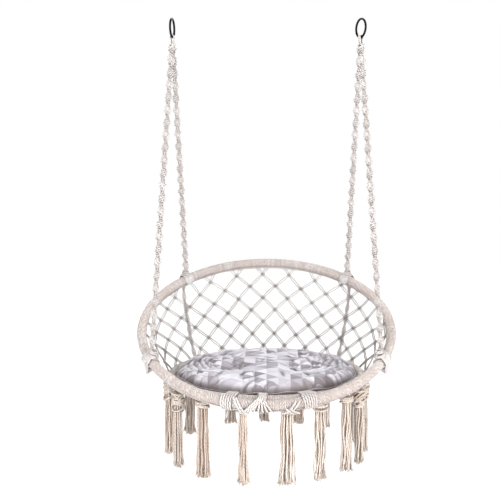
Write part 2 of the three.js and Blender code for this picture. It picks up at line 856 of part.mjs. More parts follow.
// Tassels: a gathered head under the seat hoop and a fluted skirt of loose cords
const tasselHeightShares = [0, 0.025, 0.075, 0.115, 0.16, 1];
const tasselRadiusShares = [0.3, 0.72, 0.86, 0.56, 0.8, 1.15];
const skirtFluteShare = 0.14;
const headFluteShare = 0.04;
const skirtFirstRow = 4;

function addTassel(number, angle) {
  const outward = hoopPoint(seatHoop, angle).normalize();
  const top = hoopPoint(seatHoop, angle)
    .addScaledVector(outward, tasselOverhang)
    .addScaledVector(up, -(coverRadius + clearance));
  const rings = tasselHeightShares.map((heightShare, row) => {
    const ring = [];
    const flute = row < skirtFirstRow ? headFluteShare : skirtFluteShare;
    for (let i = 0; i < 2 * tasselLobes; i += 1) {
      const side = (turn * i) / (2 * tasselLobes) + radians(angle);
      const radius = tasselRadius * tasselRadiusShares[row] * (1 + (i % 2 ? -flute : flute));
      const rim = new THREE.Vector3(radius * Math.cos(side), radius * Math.sin(side), 0);
      ring.push(rim.add(top).addScaledVector(up, -tasselLength * heightShare));
    }
    return ring;
  });
  place(chair, `tassel_${String(number).padStart(2, "0")}`, loft(rings), finishes.tassel());
}

tasselAngles.forEach((angle, i) => addTassel(i + 1, angle));

// Cushion: crowned, drawn in at the seam and pulled down at its sewn tufts
const cushionRadius = seatHoopRadius - cushionEdgeGap;
const topShares = [0.12, 0.26, 0.4, 0.53, 0.66, 0.78, 0.88, 0.95];
const bottomShares = [0.92, 0.7, 0.4, 0.14];
const domeSquareness = 2.4;
const domeFullness = 0.7;
const tufts = [
  { shares: [-0.7, -0.74] },
  { shares: [0.7, -0.74] },
  { shares: [-0.86, 0.6] },
  { shares: [0.86, 0.6] },
];

function tuftPull(x, y) {
  let pull = 0;
  for (const { shares } of tufts) {
    const distance = Math.hypot(x - shares[0] * tuftCircle, y - shares[1] * tuftCircle);
    pull += Math.exp(-((distance / tuftRadius) ** 2) * 2);
  }
  return tuftDepth * Math.min(pull, 1);
}

function cushionRing(radius, heightAt) {
  const ring = [];
  for (let i = 0; i < cushionSegments; i += 1) {
    const angle = (turn * i) / cushionSegments;
    const x = radius * Math.sin(angle);
    const y = -radius * Math.cos(angle);
    ring.push(new THREE.Vector3(x, y, heightAt(x, y)));
  }
  return ring;
}

function addCushion() {
  const rest = seatKnotCrest + clearance;
  const bottomAt = (x, y) => bowlHeight(Math.hypot(x, y)) + rest;
  const topAt = (x, y) => {
    const share = Math.hypot(x, y) / cushionRadius;
    const dome = (1 - share ** domeSquareness) ** domeFullness;
    return cushionEdgeHeight + cushionCrown * dome - tuftPull(x, y);
  };
  const rings = [];
  for (const share of topShares) rings.push(cushionRing(share * cushionRadius, topAt));
  rings.push(cushionRing(cushionRadius, () => cushionEdgeHeight));
  rings.push(cushionRing(cushionRadius - cushionRoll / 4, () => cushionEdgeHeight - cushionRoll / 2));
  for (const share of bottomShares) rings.push(cushionRing(share * cushionRadius, bottomAt));
  place(chair, "cushion", loft(rings), finishes.cushion());
}

addCushion();

// The origin is midway between the rings, at the inside of their top where they hang
chair.position.set(0, -ringSetback, -(ringHeight + ringRadius - ringWireRadius));

export default object;
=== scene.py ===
# %% [markdown]
# # A knotted hammock chair, dressed around its CAD frame
# The chair is almost all cotton cord: wound round two hoops, knotted into a net, tied into
# spiral ropes and left loose as tassels. One idea makes nearly all of it: draw the line that
# a cord follows, then sweep a round section along that line with Geometry Nodes.
# The CAD frame gives the hoops, and everything is tied to them. Finer sizes and colours were
# measured in the photo, or set by comparing renders with it.

# %% The frame and its measures
import math
import random

import bmesh
import bpy
import mathutils.noise
import numpy as np
from mathutils import Matrix, Vector


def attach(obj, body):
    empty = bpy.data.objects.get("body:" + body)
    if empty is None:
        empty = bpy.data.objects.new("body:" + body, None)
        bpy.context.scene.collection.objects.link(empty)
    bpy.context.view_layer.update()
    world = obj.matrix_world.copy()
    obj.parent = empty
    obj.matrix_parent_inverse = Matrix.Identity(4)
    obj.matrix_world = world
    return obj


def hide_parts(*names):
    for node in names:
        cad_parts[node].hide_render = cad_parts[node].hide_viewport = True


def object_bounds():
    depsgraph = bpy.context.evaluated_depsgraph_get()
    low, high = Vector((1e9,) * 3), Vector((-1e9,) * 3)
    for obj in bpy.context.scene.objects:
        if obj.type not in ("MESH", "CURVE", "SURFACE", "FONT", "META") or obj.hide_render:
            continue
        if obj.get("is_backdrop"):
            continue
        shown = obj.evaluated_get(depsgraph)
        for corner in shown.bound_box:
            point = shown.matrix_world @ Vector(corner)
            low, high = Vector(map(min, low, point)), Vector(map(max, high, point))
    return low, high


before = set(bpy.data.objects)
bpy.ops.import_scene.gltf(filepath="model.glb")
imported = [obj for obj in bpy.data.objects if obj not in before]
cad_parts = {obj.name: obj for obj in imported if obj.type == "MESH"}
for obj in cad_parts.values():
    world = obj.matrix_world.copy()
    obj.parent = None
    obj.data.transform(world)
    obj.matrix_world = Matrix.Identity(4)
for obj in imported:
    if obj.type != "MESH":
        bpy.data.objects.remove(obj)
cad_box = [list(corner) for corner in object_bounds()]
scene = bpy.context.scene
mm = 0.001
full_turn = 2 * math.pi
up = Vector((0, 0, 1))
print("CAD box, m:", [[round(x, 3) for x in corner] for corner in cad_box])

# %% [markdown]
# ## The camera
# The photo looks at the chair from the front and five degrees down. The lens and place were
# found by matching the two hoops with the picture. The chair isn't in the photo's middle, so
# a shift slides the picture sideways without turning the camera.

# %% Camera
camera_place = (0.0, -2.5038, -0.4725)
camera_fall = 5.009
lens_length = 58.94
sensor_width = 36.0
picture_shift = -0.0331

camera_data = bpy.data.cameras.new("camera")
camera_data.lens = lens_length
camera_data.sensor_width = sensor_width
camera_data.shift_x = picture_shift
camera = bpy.data.objects.new("camera", camera_data)
camera.location = camera_place
camera.rotation_euler = (math.radians(90 - camera_fall), 0, 0)
scene.collection.objects.link(camera)
scene.camera = camera
scene.view_settings.view_transform = "Standard"

# %% [markdown]
# ## Reading the hoops
# Everything is tied to two hoops, the seat hoop and the larger, tilted upper hoop. Their
# circles are measured on the CAD nodes, so all that is tied to them follows the frame.
# Angles run from the front of a hoop, positive to the right.

# %% Hoop circles
cover_radius = 15 * mm


class Hoop:
    """The circle of a hoop's centre line."""

    def __init__(self, node):
        points = np.array([v.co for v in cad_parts[node].data.vertices], float)
        middle = points.mean(0)
        normal = np.linalg.svd(points - middle, full_matrices=False)[2][2]
        distances = np.linalg.norm(points - middle, axis=1)
        self.centre = Vector(middle)
        self.radius = (distances.max() + distances.min()) / 2
        self.normal = Vector(normal) * math.copysign(1, normal[2])
        self.back = self.normal.cross(Vector((1, 0, 0))).normalized()
        self.right = self.back.cross(self.normal)

    def outward(self, angle):
        a = math.radians(angle)
        return self.right * math.sin(a) - self.back * math.cos(a)

    def along(self, angle):
        a = math.radians(angle)
        return self.right * math.cos(a) + self.back * math.sin(a)

    def point(self, angle, height=0.0, radius=0.0):
        """A point at a distance from the centre line, height degrees up from outward."""
        h = math.radians(height)
        level = self.outward(angle) * (self.radius + radius * math.cos(h))
        return self.centre + level + self.normal * (radius * math.sin(h))

    def matrix(self):
        axes = Matrix((self.right, self.back, self.normal)).transposed()
        return Matrix.Translation(self.centre) @ axes.to_4x4()


seat = Hoop("seat_hoop")
rim = Hoop("rim_hoop")
print(f"Seat hoop radius {seat.radius:.4f} m, upper hoop radius {rim.radius:.4f} m")

# %% [markdown]
# ## Colours and materials
# Cotton cord is three yarns twisted together, matt and slightly fuzzy. The sweep stores where
# each point lies round and along its cord, so the material can draw the yarns as a spiral in
# colour and bump. The colour is painted darker as shade in the grooves between yarns and in
# the gaps where cords lie close. Broad noise makes some cords creamier and others pinker, as
# cotton is. The numbers that are the same all over a surface go straight on the shader.

# %% Material helpers


def srgb(r, g, b):
    """A colour picked in eight-bit screen values, as the shader wants it."""
    linear = [((c / 255 + 0.055) / 1.055) ** 2.4 if c > 10 else c / 3294.6 for c in (r, g, b)]
    return (*linear, 1.0)


def node(tree, kind, feeds=None, **settings):
    """A node with its settings, its sockets linked or set."""
    made = tree.nodes.new(kind)
    for key, value in settings.items():
        setattr(made, key, value)
    for socket, value in (feeds or {}).items():
        if isinstance(value, bpy.types.NodeSocket):
            tree.links.new(value, made.inputs[socket])
        else:
            made.inputs[socket].default_value = value
    return made


def calculate(tree, operation, *values):
    feeds = dict(enumerate(values))
    return node(tree, "ShaderNodeMath", feeds, operation=operation).outputs[0]


def times(tree, *values):
    return calculate(tree, "MULTIPLY", *values)


def plus(tree, *values):
    return calculate(tree, "ADD", *values)


def minus(tree, *values):
    return calculate(tree, "SUBTRACT", *values)


def mixed(tree, share, low, high):
    """A colour between two, by a share."""
    return node(tree, "ShaderNodeMix", {0: share, 6: low, 7: high}, data_type="RGBA").outputs[2]


def ranged(tree, value, low, high, to_low=0.0, to_high=1.0):
    feeds = {"Value": value, "From Min": low, "From Max": high, "To Min": to_low, "To Max": to_high}
    return node(tree, "ShaderNodeMapRange", feeds).outputs[0]


def noise(tree, place, scale, detail=2.0):
    feeds = {"Vector": place, "Scale": scale, "Detail": detail}
    return node(tree, "ShaderNodeTexNoise", feeds).outputs[0]


def new_material(name, roughness, **constants):
    material = bpy.data.materials.new(name)
    material.use_nodes = True
    shader = material.node_tree.nodes["Principled BSDF"]
    shader.inputs["Roughness"].default_value = roughness
    for label, value in constants.items():
        shader.inputs[label.replace("_", " ")].default_value = value
    return material, material.node_tree, shader


def object_place(tree):
    return node(tree, "ShaderNodeTexCoord").outputs["Object"]


def attribute(tree, name):
    return node(tree, "ShaderNodeAttribute", attribute_name=name).outputs


def separated(tree, vector):
    return node(tree, "ShaderNodeSeparateXYZ", {0: vector}).outputs


def bumped(tree, shader, height, distance):
    bump = node(tree, "ShaderNodeBump", {"Height": height, "Distance": distance, "Strength": 1.0})
    tree.links.new(bump.outputs[0], shader.inputs["Normal"])


def coloured(tree, shader, colour):
    tree.links.new(colour, shader.inputs["Base Color"])


# %% Cotton cord
yarn_count = 3
yarn_pitch = 11 * mm
yarn_bump = 0.5 * mm
yarn_groove = (0.0, 0.55, 0.65, 0.0)
tone_scale = 9.0
tone_span = (0.35, 0.65)
tone_share = 0.55
fibre_scale = 1400.0
fibre_speckle = (0.3, 0.7, 0.12, 0.0)
fibre_lift_share = 0.35
knob_scale = 330.0
knob_span = (0.45, 0.68)
cotton_roughness = 0.92
cotton_sheen = 0.25
cotton_shine = 0.25
gap_reach = 9 * mm
gap_samples = 6
gap_open_share = 0.8
gap_closed_share = 0.2


def gap_shade(tree, reach, open_share, closed_share):
    """Painted shade: rises to one where other surfaces stand close around."""
    nearby = node(tree, "ShaderNodeAmbientOcclusion", {"Distance": reach}, samples=gap_samples)
    return ranged(tree, nearby.outputs["AO"], closed_share, open_share, 1.0, 0.0)


def cotton(name, light, dark, speckle_and_shade, gap_shade_share=0.6, knob_share=0.3):
    looks = {"Sheen_Weight": cotton_sheen, "Specular_IOR_Level": cotton_shine}
    material, tree, shader = new_material(name, cotton_roughness, **looks)
    lay = separated(tree, attribute(tree, "lay")["Vector"])
    angle = calculate(tree, "ARCTAN2", lay[1], lay[0])
    along = times(tree, lay[2], full_turn / yarn_pitch)
    phase = calculate(tree, "MULTIPLY_ADD", angle, float(yarn_count), along)
    yarn = ranged(tree, calculate(tree, "SINE", phase), -1.0, 1.0)
    place = object_place(tree)
    fibre = noise(tree, place, fibre_scale)
    tone = ranged(tree, noise(tree, place, tone_scale), *tone_span)
    share = plus(tree, times(tree, tone, tone_share), attribute(tree, "shade")["Fac"])
    knobs = ranged(tree, noise(tree, place, knob_scale, 1.0), *knob_span, 0.0, knob_share)
    gap = times(tree, gap_shade(tree, gap_reach, gap_open_share, gap_closed_share), gap_shade_share)
    colour = mixed(tree, share, light, dark)
    # Painted shade in the grooves between yarns and in the gaps between cords; the fibre and knob
    # speckles are the cord's own tone.
    for darker in (ranged(tree, yarn, *yarn_groove), ranged(tree, fibre, *fibre_speckle), knobs, gap):
        colour = mixed(tree, darker, colour, speckle_and_shade)
    coloured(tree, shader, colour)
    bumped(tree, shader, calculate(tree, "MULTIPLY_ADD", fibre, fibre_lift_share, yarn), yarn_bump)
    return material


rope_tones = (srgb(255, 254, 253), srgb(234, 226, 223), srgb(120, 106, 100))
band_tones = (srgb(255, 253, 251), srgb(236, 224, 219), srgb(118, 100, 92))
# Painted shade: the net's tones are the cord's tones made darker, for the net's shaded look.
net_shaded_tones = (srgb(210, 203, 200), srgb(150, 140, 135), srgb(80, 71, 67))
tassel_tones = (srgb(248, 239, 229), srgb(216, 196, 181), srgb(140, 114, 96))
rope_cotton = cotton("rope cotton", *rope_tones)
band_cotton = cotton("band cotton", *band_tones, gap_shade_share=0.65, knob_share=0.45)
net_cotton = cotton("net cotton", *net_shaded_tones)
tassel_cotton = cotton("tassel cotton", *tassel_tones, gap_shade_share=0.45)

# %% Ring and hoop metal
scratch_stretch = (1.0, 1.0, 0.12)
scratch_span = (0.3, 0.7)
cloud_share = 1 / 12
cloud_span = (0.4, 0.7)
rough_shares = (0.7, 1.5)


def metal(name, colour, dull_colour, roughness, scratch_scale, scratch_bump):
    material, tree, shader = new_material(name, roughness, Metallic=1.0)
    place = object_place(tree)
    stretch = node(tree, "ShaderNodeMapping", {0: place, 3: scratch_stretch}).outputs[0]
    scratch = noise(tree, stretch, scratch_scale, 4.0)
    cloud = ranged(tree, noise(tree, place, scratch_scale * cloud_share), *cloud_span)
    coloured(tree, shader, mixed(tree, cloud, colour, dull_colour))
    rough = ranged(tree, scratch, *scratch_span, *[roughness * share for share in rough_shares])
    tree.links.new(rough, shader.inputs["Roughness"])
    bumped(tree, shader, scratch, scratch_bump)
    return material


ring_metal = metal("ring metal", srgb(30, 31, 34), srgb(16, 16, 18), 0.3, 900.0, 0.04 * mm)
hoop_steel = metal("hoop steel", srgb(150, 153, 158), srgb(120, 120, 122), 0.42, 500.0, 0.06 * mm)

# %% [markdown]
# ## The cord sweep
# A cord could be drawn by hand as a tube, but there is far too much of it here. So one node
# tree turns any line into a cord: it smooths the line, sweeps a circle along it, keeps
# the place round and along the cord as an attribute for the material, and closes the ends.
# A line is a mesh of points and edges, and each point has its own girth and shade.

# %% Node tree helpers


def start_tree(name, floats, wholes=()):
    """A tree whose inputs are a geometry, numbers, whole numbers and the finish."""
    tree = bpy.data.node_groups.new(name, "GeometryNodeTree")
    sockets = [("Geometry", "Geometry"), *[(label, "Float") for label in floats]]
    sockets += [*[(label, "Int") for label in wholes], ("Finish", "Material")]
    for label, kind in sockets:
        tree.interface.new_socket(label, in_out="INPUT", socket_type=f"NodeSocket{kind}")
    tree.interface.new_socket("Geometry", in_out="OUTPUT", socket_type="NodeSocketGeometry")
    return tree, node(tree, "NodeGroupInput").outputs


def end_tree(tree, geometry, finish):
    real = node(tree, "GeometryNodeRealizeInstances", {0: geometry}).outputs[0]
    smooth = node(tree, "GeometryNodeSetShadeSmooth", {"Geometry": real}).outputs[0]
    done = node(tree, "GeometryNodeSetMaterial", {"Geometry": smooth, "Material": finish})
    output = node(tree, "NodeGroupOutput")
    tree.links.new(done.outputs[0], output.inputs[0])
    return tree


def captured(tree, geometry, value):
    """The geometry with a value kept on its points, and that value."""
    capture = tree.nodes.new("GeometryNodeCaptureAttribute")
    capture.capture_items.new("FLOAT", "Kept")
    tree.links.new(geometry, capture.inputs[0])
    tree.links.new(value, capture.inputs[1])
    return capture.outputs[0], capture.outputs[1]


def combined(tree, x, y, z):
    return node(tree, "ShaderNodeCombineXYZ", {0: x, 1: y, 2: z}).outputs[0]


def stored(tree, geometry, name, value, kind="FLOAT"):
    """The geometry with a named attribute on its points."""
    feeds = {"Geometry": geometry, "Name": name, "Value": value}
    settings = {"data_type": kind, "domain": "POINT"}
    return node(tree, "GeometryNodeStoreNamedAttribute", feeds, **settings).outputs[0]


def named(tree, name, kind="FLOAT"):
    return node(tree, "GeometryNodeInputNamedAttribute", {"Name": name}, data_type=kind).outputs[0]


def as_curve(tree, geometry):
    return node(tree, "GeometryNodeMeshToCurve", {0: geometry}).outputs[0]


def circle(tree, points, radius=1.0):
    feeds = {"Resolution": points, "Radius": radius}
    return node(tree, "GeometryNodeCurvePrimitiveCircle", feeds).outputs[0]


def transformed(tree, geometry, **feeds):
    return node(tree, "GeometryNodeTransform", {"Geometry": geometry, **feeds}).outputs[0]


def joined_up(tree, *bodies):
    join = tree.nodes.new("GeometryNodeJoinGeometry")
    for body in bodies:
        tree.links.new(body, join.inputs[0])
    return join.outputs[0]


def section(tree, sides, width, depth=None):
    """A round or oval section, and the angle of each of its points."""
    sized = transformed(tree, circle(tree, sides), Scale=combined(tree, width, depth or width, 1.0))
    share = node(tree, "GeometryNodeSplineParameter").outputs["Factor"]
    curve, kept = captured(tree, sized, share)
    return curve, times(tree, kept, full_turn)


def swept(tree, curve, profile, angle, girth=1.0):
    """A cord with that section along a curve, its lay stored for the material."""
    length = node(tree, "GeometryNodeSplineParameter").outputs["Length"]
    marked, kept = captured(tree, curve, length)
    feeds = {"Curve": marked, "Profile Curve": profile, "Scale": girth, "Fill Caps": True}
    tube = node(tree, "GeometryNodeCurveToMesh", feeds).outputs[0]
    lay = combined(tree, calculate(tree, "COSINE", angle), calculate(tree, "SINE", angle), kept)
    return stored(tree, tube, "lay", lay, "FLOAT_VECTOR")


def evaluated_mesh(piece):
    """The piece's mesh as its modifiers leave it."""
    evaluated = piece.evaluated_get(bpy.context.evaluated_depsgraph_get())
    return bpy.data.meshes.new_from_object(evaluated)


def settle(piece):
    """Makes what the modifiers show the piece's own mesh."""
    mesh = evaluated_mesh(piece)
    piece.modifiers.clear()
    piece.data = mesh


def grown(name, tree, values, guide=None):
    """Runs a tree over a guide mesh, and gives its result as an object with a plain mesh."""
    made = bpy.data.objects.new(name, guide or bpy.data.meshes.new(name))
    scene.collection.objects.link(made)
    modifier = made.modifiers.new("nodes", "NODES")
    modifier.node_group = tree
    sockets = {s.name: s.identifier for s in tree.interface.items_tree if s.in_out == "INPUT"}
    for label, value in values.items():
        modifier[sockets[label]] = value
    made.update_tag()
    settle(made)
    made.data.name = name
    return made


# %% Cord tree


def cord_tree():
    tree, given = start_tree("Cord along a line", ["Radius"], ["Sides", "Steps"])
    feeds = {"Curve": as_curve(tree, given["Geometry"])}
    bent = node(tree, "GeometryNodeCurveSplineType", feeds, spline_type="CATMULL_ROM").outputs[0]
    feeds = {"Geometry": bent, "Resolution": given["Steps"]}
    fine = node(tree, "GeometryNodeSetSplineResolution", feeds).outputs[0]
    profile, angle = section(tree, given["Sides"], given["Radius"])
    tube = swept(tree, fine, profile, angle, named(tree, "girth"))
    return end_tree(tree, tube, given["Finish"])


cord_nodes = cord_tree()


class Cords:
    """Lines for the cord tree, gathered before one sweep."""

    def __init__(self):
        self.points = []
        self.edges = []
        self.girths = []
        self.shades = []

    def add(self, points, closed=False, girth=1.0, shade=0.0):
        first = len(self.points)
        count = len(points)
        self.points.extend(tuple(p) for p in points)
        self.edges.extend((first + i, first + i + 1) for i in range(count - 1))
        if closed:
            self.edges.append((first + count - 1, first))
        self.girths.extend(girth if hasattr(girth, "__len__") else [girth] * count)
        self.shades.extend([shade] * count)

    def sweep(self, name, radius, finish, sides=7, steps=3):
        guide = bpy.data.meshes.new(name)
        guide.from_pydata(self.points, self.edges, [])
        for label, values in (("girth", self.girths), ("shade", self.shades)):
            guide.attributes.new(label, "FLOAT", "POINT").data.foreach_set("value", values)
        values = {"Radius": radius, "Sides": sides, "Steps": steps, "Finish": finish}
        made = grown(name, cord_nodes, values, guide)
        print(f"{name}: {len(made.data.polygons)} faces")
        return made


def dressed(piece, body, slot_name, *nodes):
    """Hands a finished piece to the frame."""
    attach(piece, body)
    if nodes:
        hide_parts(*nodes)
    return piece


# %% [markdown]
# ## The wound hoops
# Each steel hoop is hidden under cotton cord wound round it, turn against turn. A helix round
# a circle follows a simple rule, so a second tree makes it from one row of points: the point's
# number gives its angle round the hoop and its angle round the tube. The ends meet, so the
# winding is one closed cord. A little chance in each turn's radius keeps it from looking cast.

# %% Winding tree
winding_cord = 2.4 * mm
winding_pitch = 4.5 * mm
winding_steps = 14
winding_sides = 6
winding_jitter = 0.55 * mm
turn_tone = 1.1


def winding_tree():
    floats = ["Hoop Radius", "Winding Radius", "Cord Radius", "Jitter"]
    tree, given = start_tree("Winding round a hoop", floats, ["Turns", "Steps", "Sides", "Seed"])
    count = times(tree, given["Turns"], given["Steps"])
    row = node(tree, "GeometryNodeMeshLine", {"Count": count}).outputs[0]
    index = node(tree, "GeometryNodeInputIndex").outputs[0]
    turn_number = calculate(tree, "DIVIDE", index, given["Steps"])
    wound = times(tree, turn_number, full_turn)
    round_hoop = calculate(tree, "DIVIDE", wound, given["Turns"])
    whole_turn = calculate(tree, "FLOOR", turn_number)
    low = times(tree, given["Jitter"], -1.0)
    feeds = {2: low, 3: given["Jitter"], "ID": whole_turn, "Seed": given["Seed"]}
    chance = node(tree, "FunctionNodeRandomValue", feeds, data_type="FLOAT").outputs[1]
    radius = plus(tree, given["Winding Radius"], chance)
    out = times(tree, radius, calculate(tree, "COSINE", wound))
    reach = plus(tree, given["Hoop Radius"], out)
    x = times(tree, reach, calculate(tree, "SINE", round_hoop))
    y = times(tree, reach, calculate(tree, "COSINE", round_hoop))
    z = times(tree, radius, calculate(tree, "SINE", wound))
    place = combined(tree, x, times(tree, y, -1.0), z)
    moved = node(tree, "GeometryNodeSetPosition", {"Geometry": row, "Position": place}).outputs[0]
    feeds = {3: turn_tone, "ID": whole_turn}
    own_tone = node(tree, "FunctionNodeRandomValue", feeds, data_type="FLOAT").outputs[1]
    feeds = {"Geometry": as_curve(tree, stored(tree, moved, "shade", own_tone)), "Cyclic": True}
    closed = node(tree, "GeometryNodeSetSplineCyclic", feeds).outputs[0]
    profile, angle = section(tree, given["Sides"], given["Cord Radius"])
    return end_tree(tree, swept(tree, closed, profile, angle), given["Finish"])


winding_nodes = winding_tree()


def nodes_named(start):
    return [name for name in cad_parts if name.startswith(start)]


def wind(hoop, name, seed, cover):
    turns = round(full_turn * hoop.radius / winding_pitch)
    values = {
        "Hoop Radius": hoop.radius,
        "Winding Radius": cover_radius - winding_cord,
        "Turns": turns,
        "Steps": winding_steps,
        "Cord Radius": winding_cord,
        "Sides": winding_sides,
        "Jitter": winding_jitter,
        "Seed": seed,
        "Finish": band_cotton,
    }
    winding = grown(name, winding_nodes, values)
    winding.data.transform(hoop.matrix())
    print(f"{name}: {turns} turns, {len(winding.data.polygons)} faces")
    dressed(winding, "chair", "cover", *nodes_named(cover))


# %% Edging row
row_pitch = 7.5 * mm
row_swing = 2.1 * mm
row_cord = 2.0 * mm
row_middle = -95
row_swerve = 30
row_steps = 4
row_lift_share = 0.7
row_dip_share = 0.5
row_shades = (-0.2, 0.7)


def edging_row():
    """Two cords twined along the lower edge of the upper hoop, which hold the winding."""
    count = row_steps * round(full_turn * rim.radius / row_pitch)
    row = Cords()
    for strand, shade in enumerate(row_shades):
        points = []
        for i in range(count):
            angle = 360 * i / count
            phase = full_turn * i / row_steps + math.pi * strand
            height = row_middle + row_swerve * math.cos(math.radians(angle))
            sway = math.degrees(row_swing * math.sin(phase) / cover_radius)
            lift = row_cord * row_lift_share + row_swing * row_dip_share * math.cos(phase)
            points.append(rim.point(angle, height + sway, cover_radius + lift))
        row.add(points, closed=True, shade=shade)
    return row.sweep("edging_row", row_cord, band_cotton, sides=6, steps=2)


# %% Both windings
wind(seat, "seat_winding", 3, "seat_cover")
wind(rim, "rim_winding", 5, "rim_cover")
dressed(edging_row(), "chair", "cover")
for hoop_node in ("seat_hoop", "rim_hoop"):
    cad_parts[hoop_node].data.materials.clear()
    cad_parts[hoop_node].data.materials.append(hoop_steel)

# %% [markdown]
# ## Knots
# A square knot is two half knots, one on the other. Each half knot wraps the cords that pass
# through it as a leaning oval ring, and where its two cords hook each other it has a small
# loop at either side. That small body is made once in a tree and set on points: along a path
# for the ropes, where each knot is turned a little further than the last, and at the
# crossings of the net, where two of them lean opposite ways.

# %% Half knot
ring_points = 14
loop_points = 8
knot_sides = 6
loop_turn = math.radians(25)
loop_girth = 0.85


def half_knot(tree, half_width, half_depth, cord_radius, lean, loop_radius):
    """Nodes for one half knot: a leaning oval ring with a loop at each side."""
    wide = minus(tree, half_width, cord_radius)
    deep = minus(tree, half_depth, cord_radius)
    feeds = {"Scale": combined(tree, wide, deep, 1.0), "Rotation": combined(tree, 0.0, lean, 0.0)}
    oval = transformed(tree, circle(tree, ring_points), **feeds)
    profile, angle = section(tree, knot_sides, cord_radius)
    bodies = [swept(tree, oval, profile, angle)]
    small = circle(tree, loop_points, loop_radius)
    for side in (-1.0, 1.0):
        feeds = {"Translation": combined(tree, times(tree, wide, side), 0.0, 0.0)}
        feeds["Rotation"] = (math.radians(90), 0.0, loop_turn * side)
        loop = transformed(tree, small, **feeds)
        bodies.append(swept(tree, loop, profile, angle, loop_girth))
    return joined_up(tree, *bodies)


# %% Spiral rope tree
painted_neck_shade = 1.1
neck_sharpness = 3.0
core_sides = 12
core_inset_share = 1.6


def spiral_tree():
    floats = ["Pitch", "Lump", "Half Width", "Half Depth", "Cord Radius", "Lean", "Loop Radius"]
    tree, given = start_tree("Spiral of half knots", [*floats, "Jitter"], ["Seed"])
    sizes = [given[label] for label in ("Half Width", "Half Depth", "Cord Radius")]
    feeds = {"Curve": as_curve(tree, given["Geometry"]), "Length": given["Pitch"]}
    even = node(tree, "GeometryNodeResampleCurve", feeds, mode="LENGTH").outputs[0]
    feeds = {"Curve": even, "Normal": (1.0, 0.0, 0.0)}
    facing = node(tree, "GeometryNodeSetCurveNormal", feeds, mode="FREE").outputs[0]
    length = node(tree, "GeometryNodeSplineParameter").outputs["Length"]
    turn = times(tree, length, calculate(tree, "DIVIDE", math.pi, given["Lump"]))
    turned = node(tree, "GeometryNodeSetCurveTilt", {"Curve": facing, "Tilt": turn}).outputs[0]
    # Painted shade: the rope is darker at the necks between its lumps.
    edge_on = calculate(tree, "ABSOLUTE", calculate(tree, "SINE", turn))
    shade = times(tree, calculate(tree, "POWER", edge_on, neck_sharpness), painted_neck_shade)
    turned = stored(tree, turned, "shade", shade)
    inset = times(tree, given["Cord Radius"], core_inset_share)
    core_halves = [minus(tree, half, inset) for half in sizes[:2]]
    profile, angle = section(tree, core_sides, *core_halves)
    core = swept(tree, turned, profile, angle)
    points = node(tree, "GeometryNodeCurveToPoints", {"Curve": turned}, mode="EVALUATED")
    knot = half_knot(tree, *sizes, given["Lean"], given["Loop Radius"])
    low = times(tree, given["Jitter"], -1.0)
    feeds = {0: combined(tree, low, low, low), 1: combined(tree, *[given["Jitter"]] * 3)}
    feeds["Seed"] = given["Seed"]
    chance = node(tree, "FunctionNodeRandomValue", feeds, data_type="FLOAT_VECTOR").outputs[0]
    shaken = node(tree, "FunctionNodeEulerToRotation", {0: chance}).outputs[0]
    feeds = {"Rotation": points.outputs["Rotation"], "Rotate By": shaken}
    facing_knot = node(tree, "FunctionNodeRotateRotation", feeds, rotation_space="LOCAL").outputs[0]
    feeds = {"Points": points.outputs["Points"], "Instance": knot, "Rotation": facing_knot}
    knots = node(tree, "GeometryNodeInstanceOnPoints", feeds).outputs[0]
    return end_tree(tree, joined_up(tree, core, knots), given["Finish"])


spiral_nodes = spiral_tree()


def line_mesh(name, points):
    mesh = bpy.data.meshes.new(name)
    mesh.from_pydata([tuple(p) for p in points], [(i, i + 1) for i in range(len(points) - 1)], [])
    return mesh


# %% [markdown]
# ## The ropes
# Four ropes run from the two eyes to the upper hoop, and the rear pair goes on behind the net
# to the seat hoop. Tied with the same half knot again and again, a rope of this kind turns by
# itself: it shows a wide lump every 38 mm, where its flat side comes round to the front.
# They are taut, so each is a straight line, and the tails hang in a slack curve.

# %% Rope ends
ring_half_span = 283 * mm
eye_knot_drop = 80 * mm
rope_half_width = 10 * mm
rope_half_depth = 6 * mm
rope_lump = 38 * mm
rope_pair_gap = 1.6 * mm
rope_sink = 4 * mm
front_rope_angle = 61
rear_rope_angle = 135
tail_angle = 130
knot_pitch = 7.6 * mm
rope_cord = 2.0 * mm
knot_lean = math.radians(24)
side_loop = 2.4 * mm
rope_jitter = 0.09
rope_points = 24
rope_seed = 10


def eye_knot(sign):
    return Vector((sign * ring_half_span, 0.0, -eye_knot_drop))


def spiral(name, points, half_width, half_depth, cord_radius, pitch, seed, lay):
    """A rope of half knots along a line, dressed."""
    values = {
        "Pitch": pitch,
        "Lump": rope_lump,
        "Half Width": half_width,
        "Half Depth": half_depth,
        "Cord Radius": cord_radius,
        "Lean": knot_lean,
        "Loop Radius": side_loop * cord_radius / rope_cord,
        "Jitter": rope_jitter,
        "Seed": seed,
        "Finish": rope_cotton,
    }
    rope = grown(f"{name}_cords", spiral_nodes, values, line_mesh(f"{name}_line", points))
    length = sum((b - a).length for a, b in zip(points, points[1:]))
    print(f"{name}_cords: {length:.3f} m, {len(rope.data.polygons)} faces")
    dressed(rope, "chair", "rope", name)
    tuple(points[0])
    [tuple(p) for p in points]


# %% The four ropes
side_names = {-1: "left", 1: "right"}
rope_step = Vector((0, rope_half_width + rope_pair_gap / 2, 0))
for sign, side in side_names.items():
    for end, end_angle, step in (("front", front_rope_angle, -1), ("rear", rear_rope_angle, 1)):
        top = eye_knot(sign) + rope_step * step
        foot = rim.point(sign * end_angle)
        start = top + (foot - top).normalized() * rope_sink
        points = [start.lerp(foot, i / (rope_points - 1)) for i in range(rope_points)]
        sizes = (rope_half_width, rope_half_depth, rope_cord, knot_pitch)
        spiral(f"rope_{end}_{side}", points, *sizes, rope_seed + sign + 2 * step, "taut")

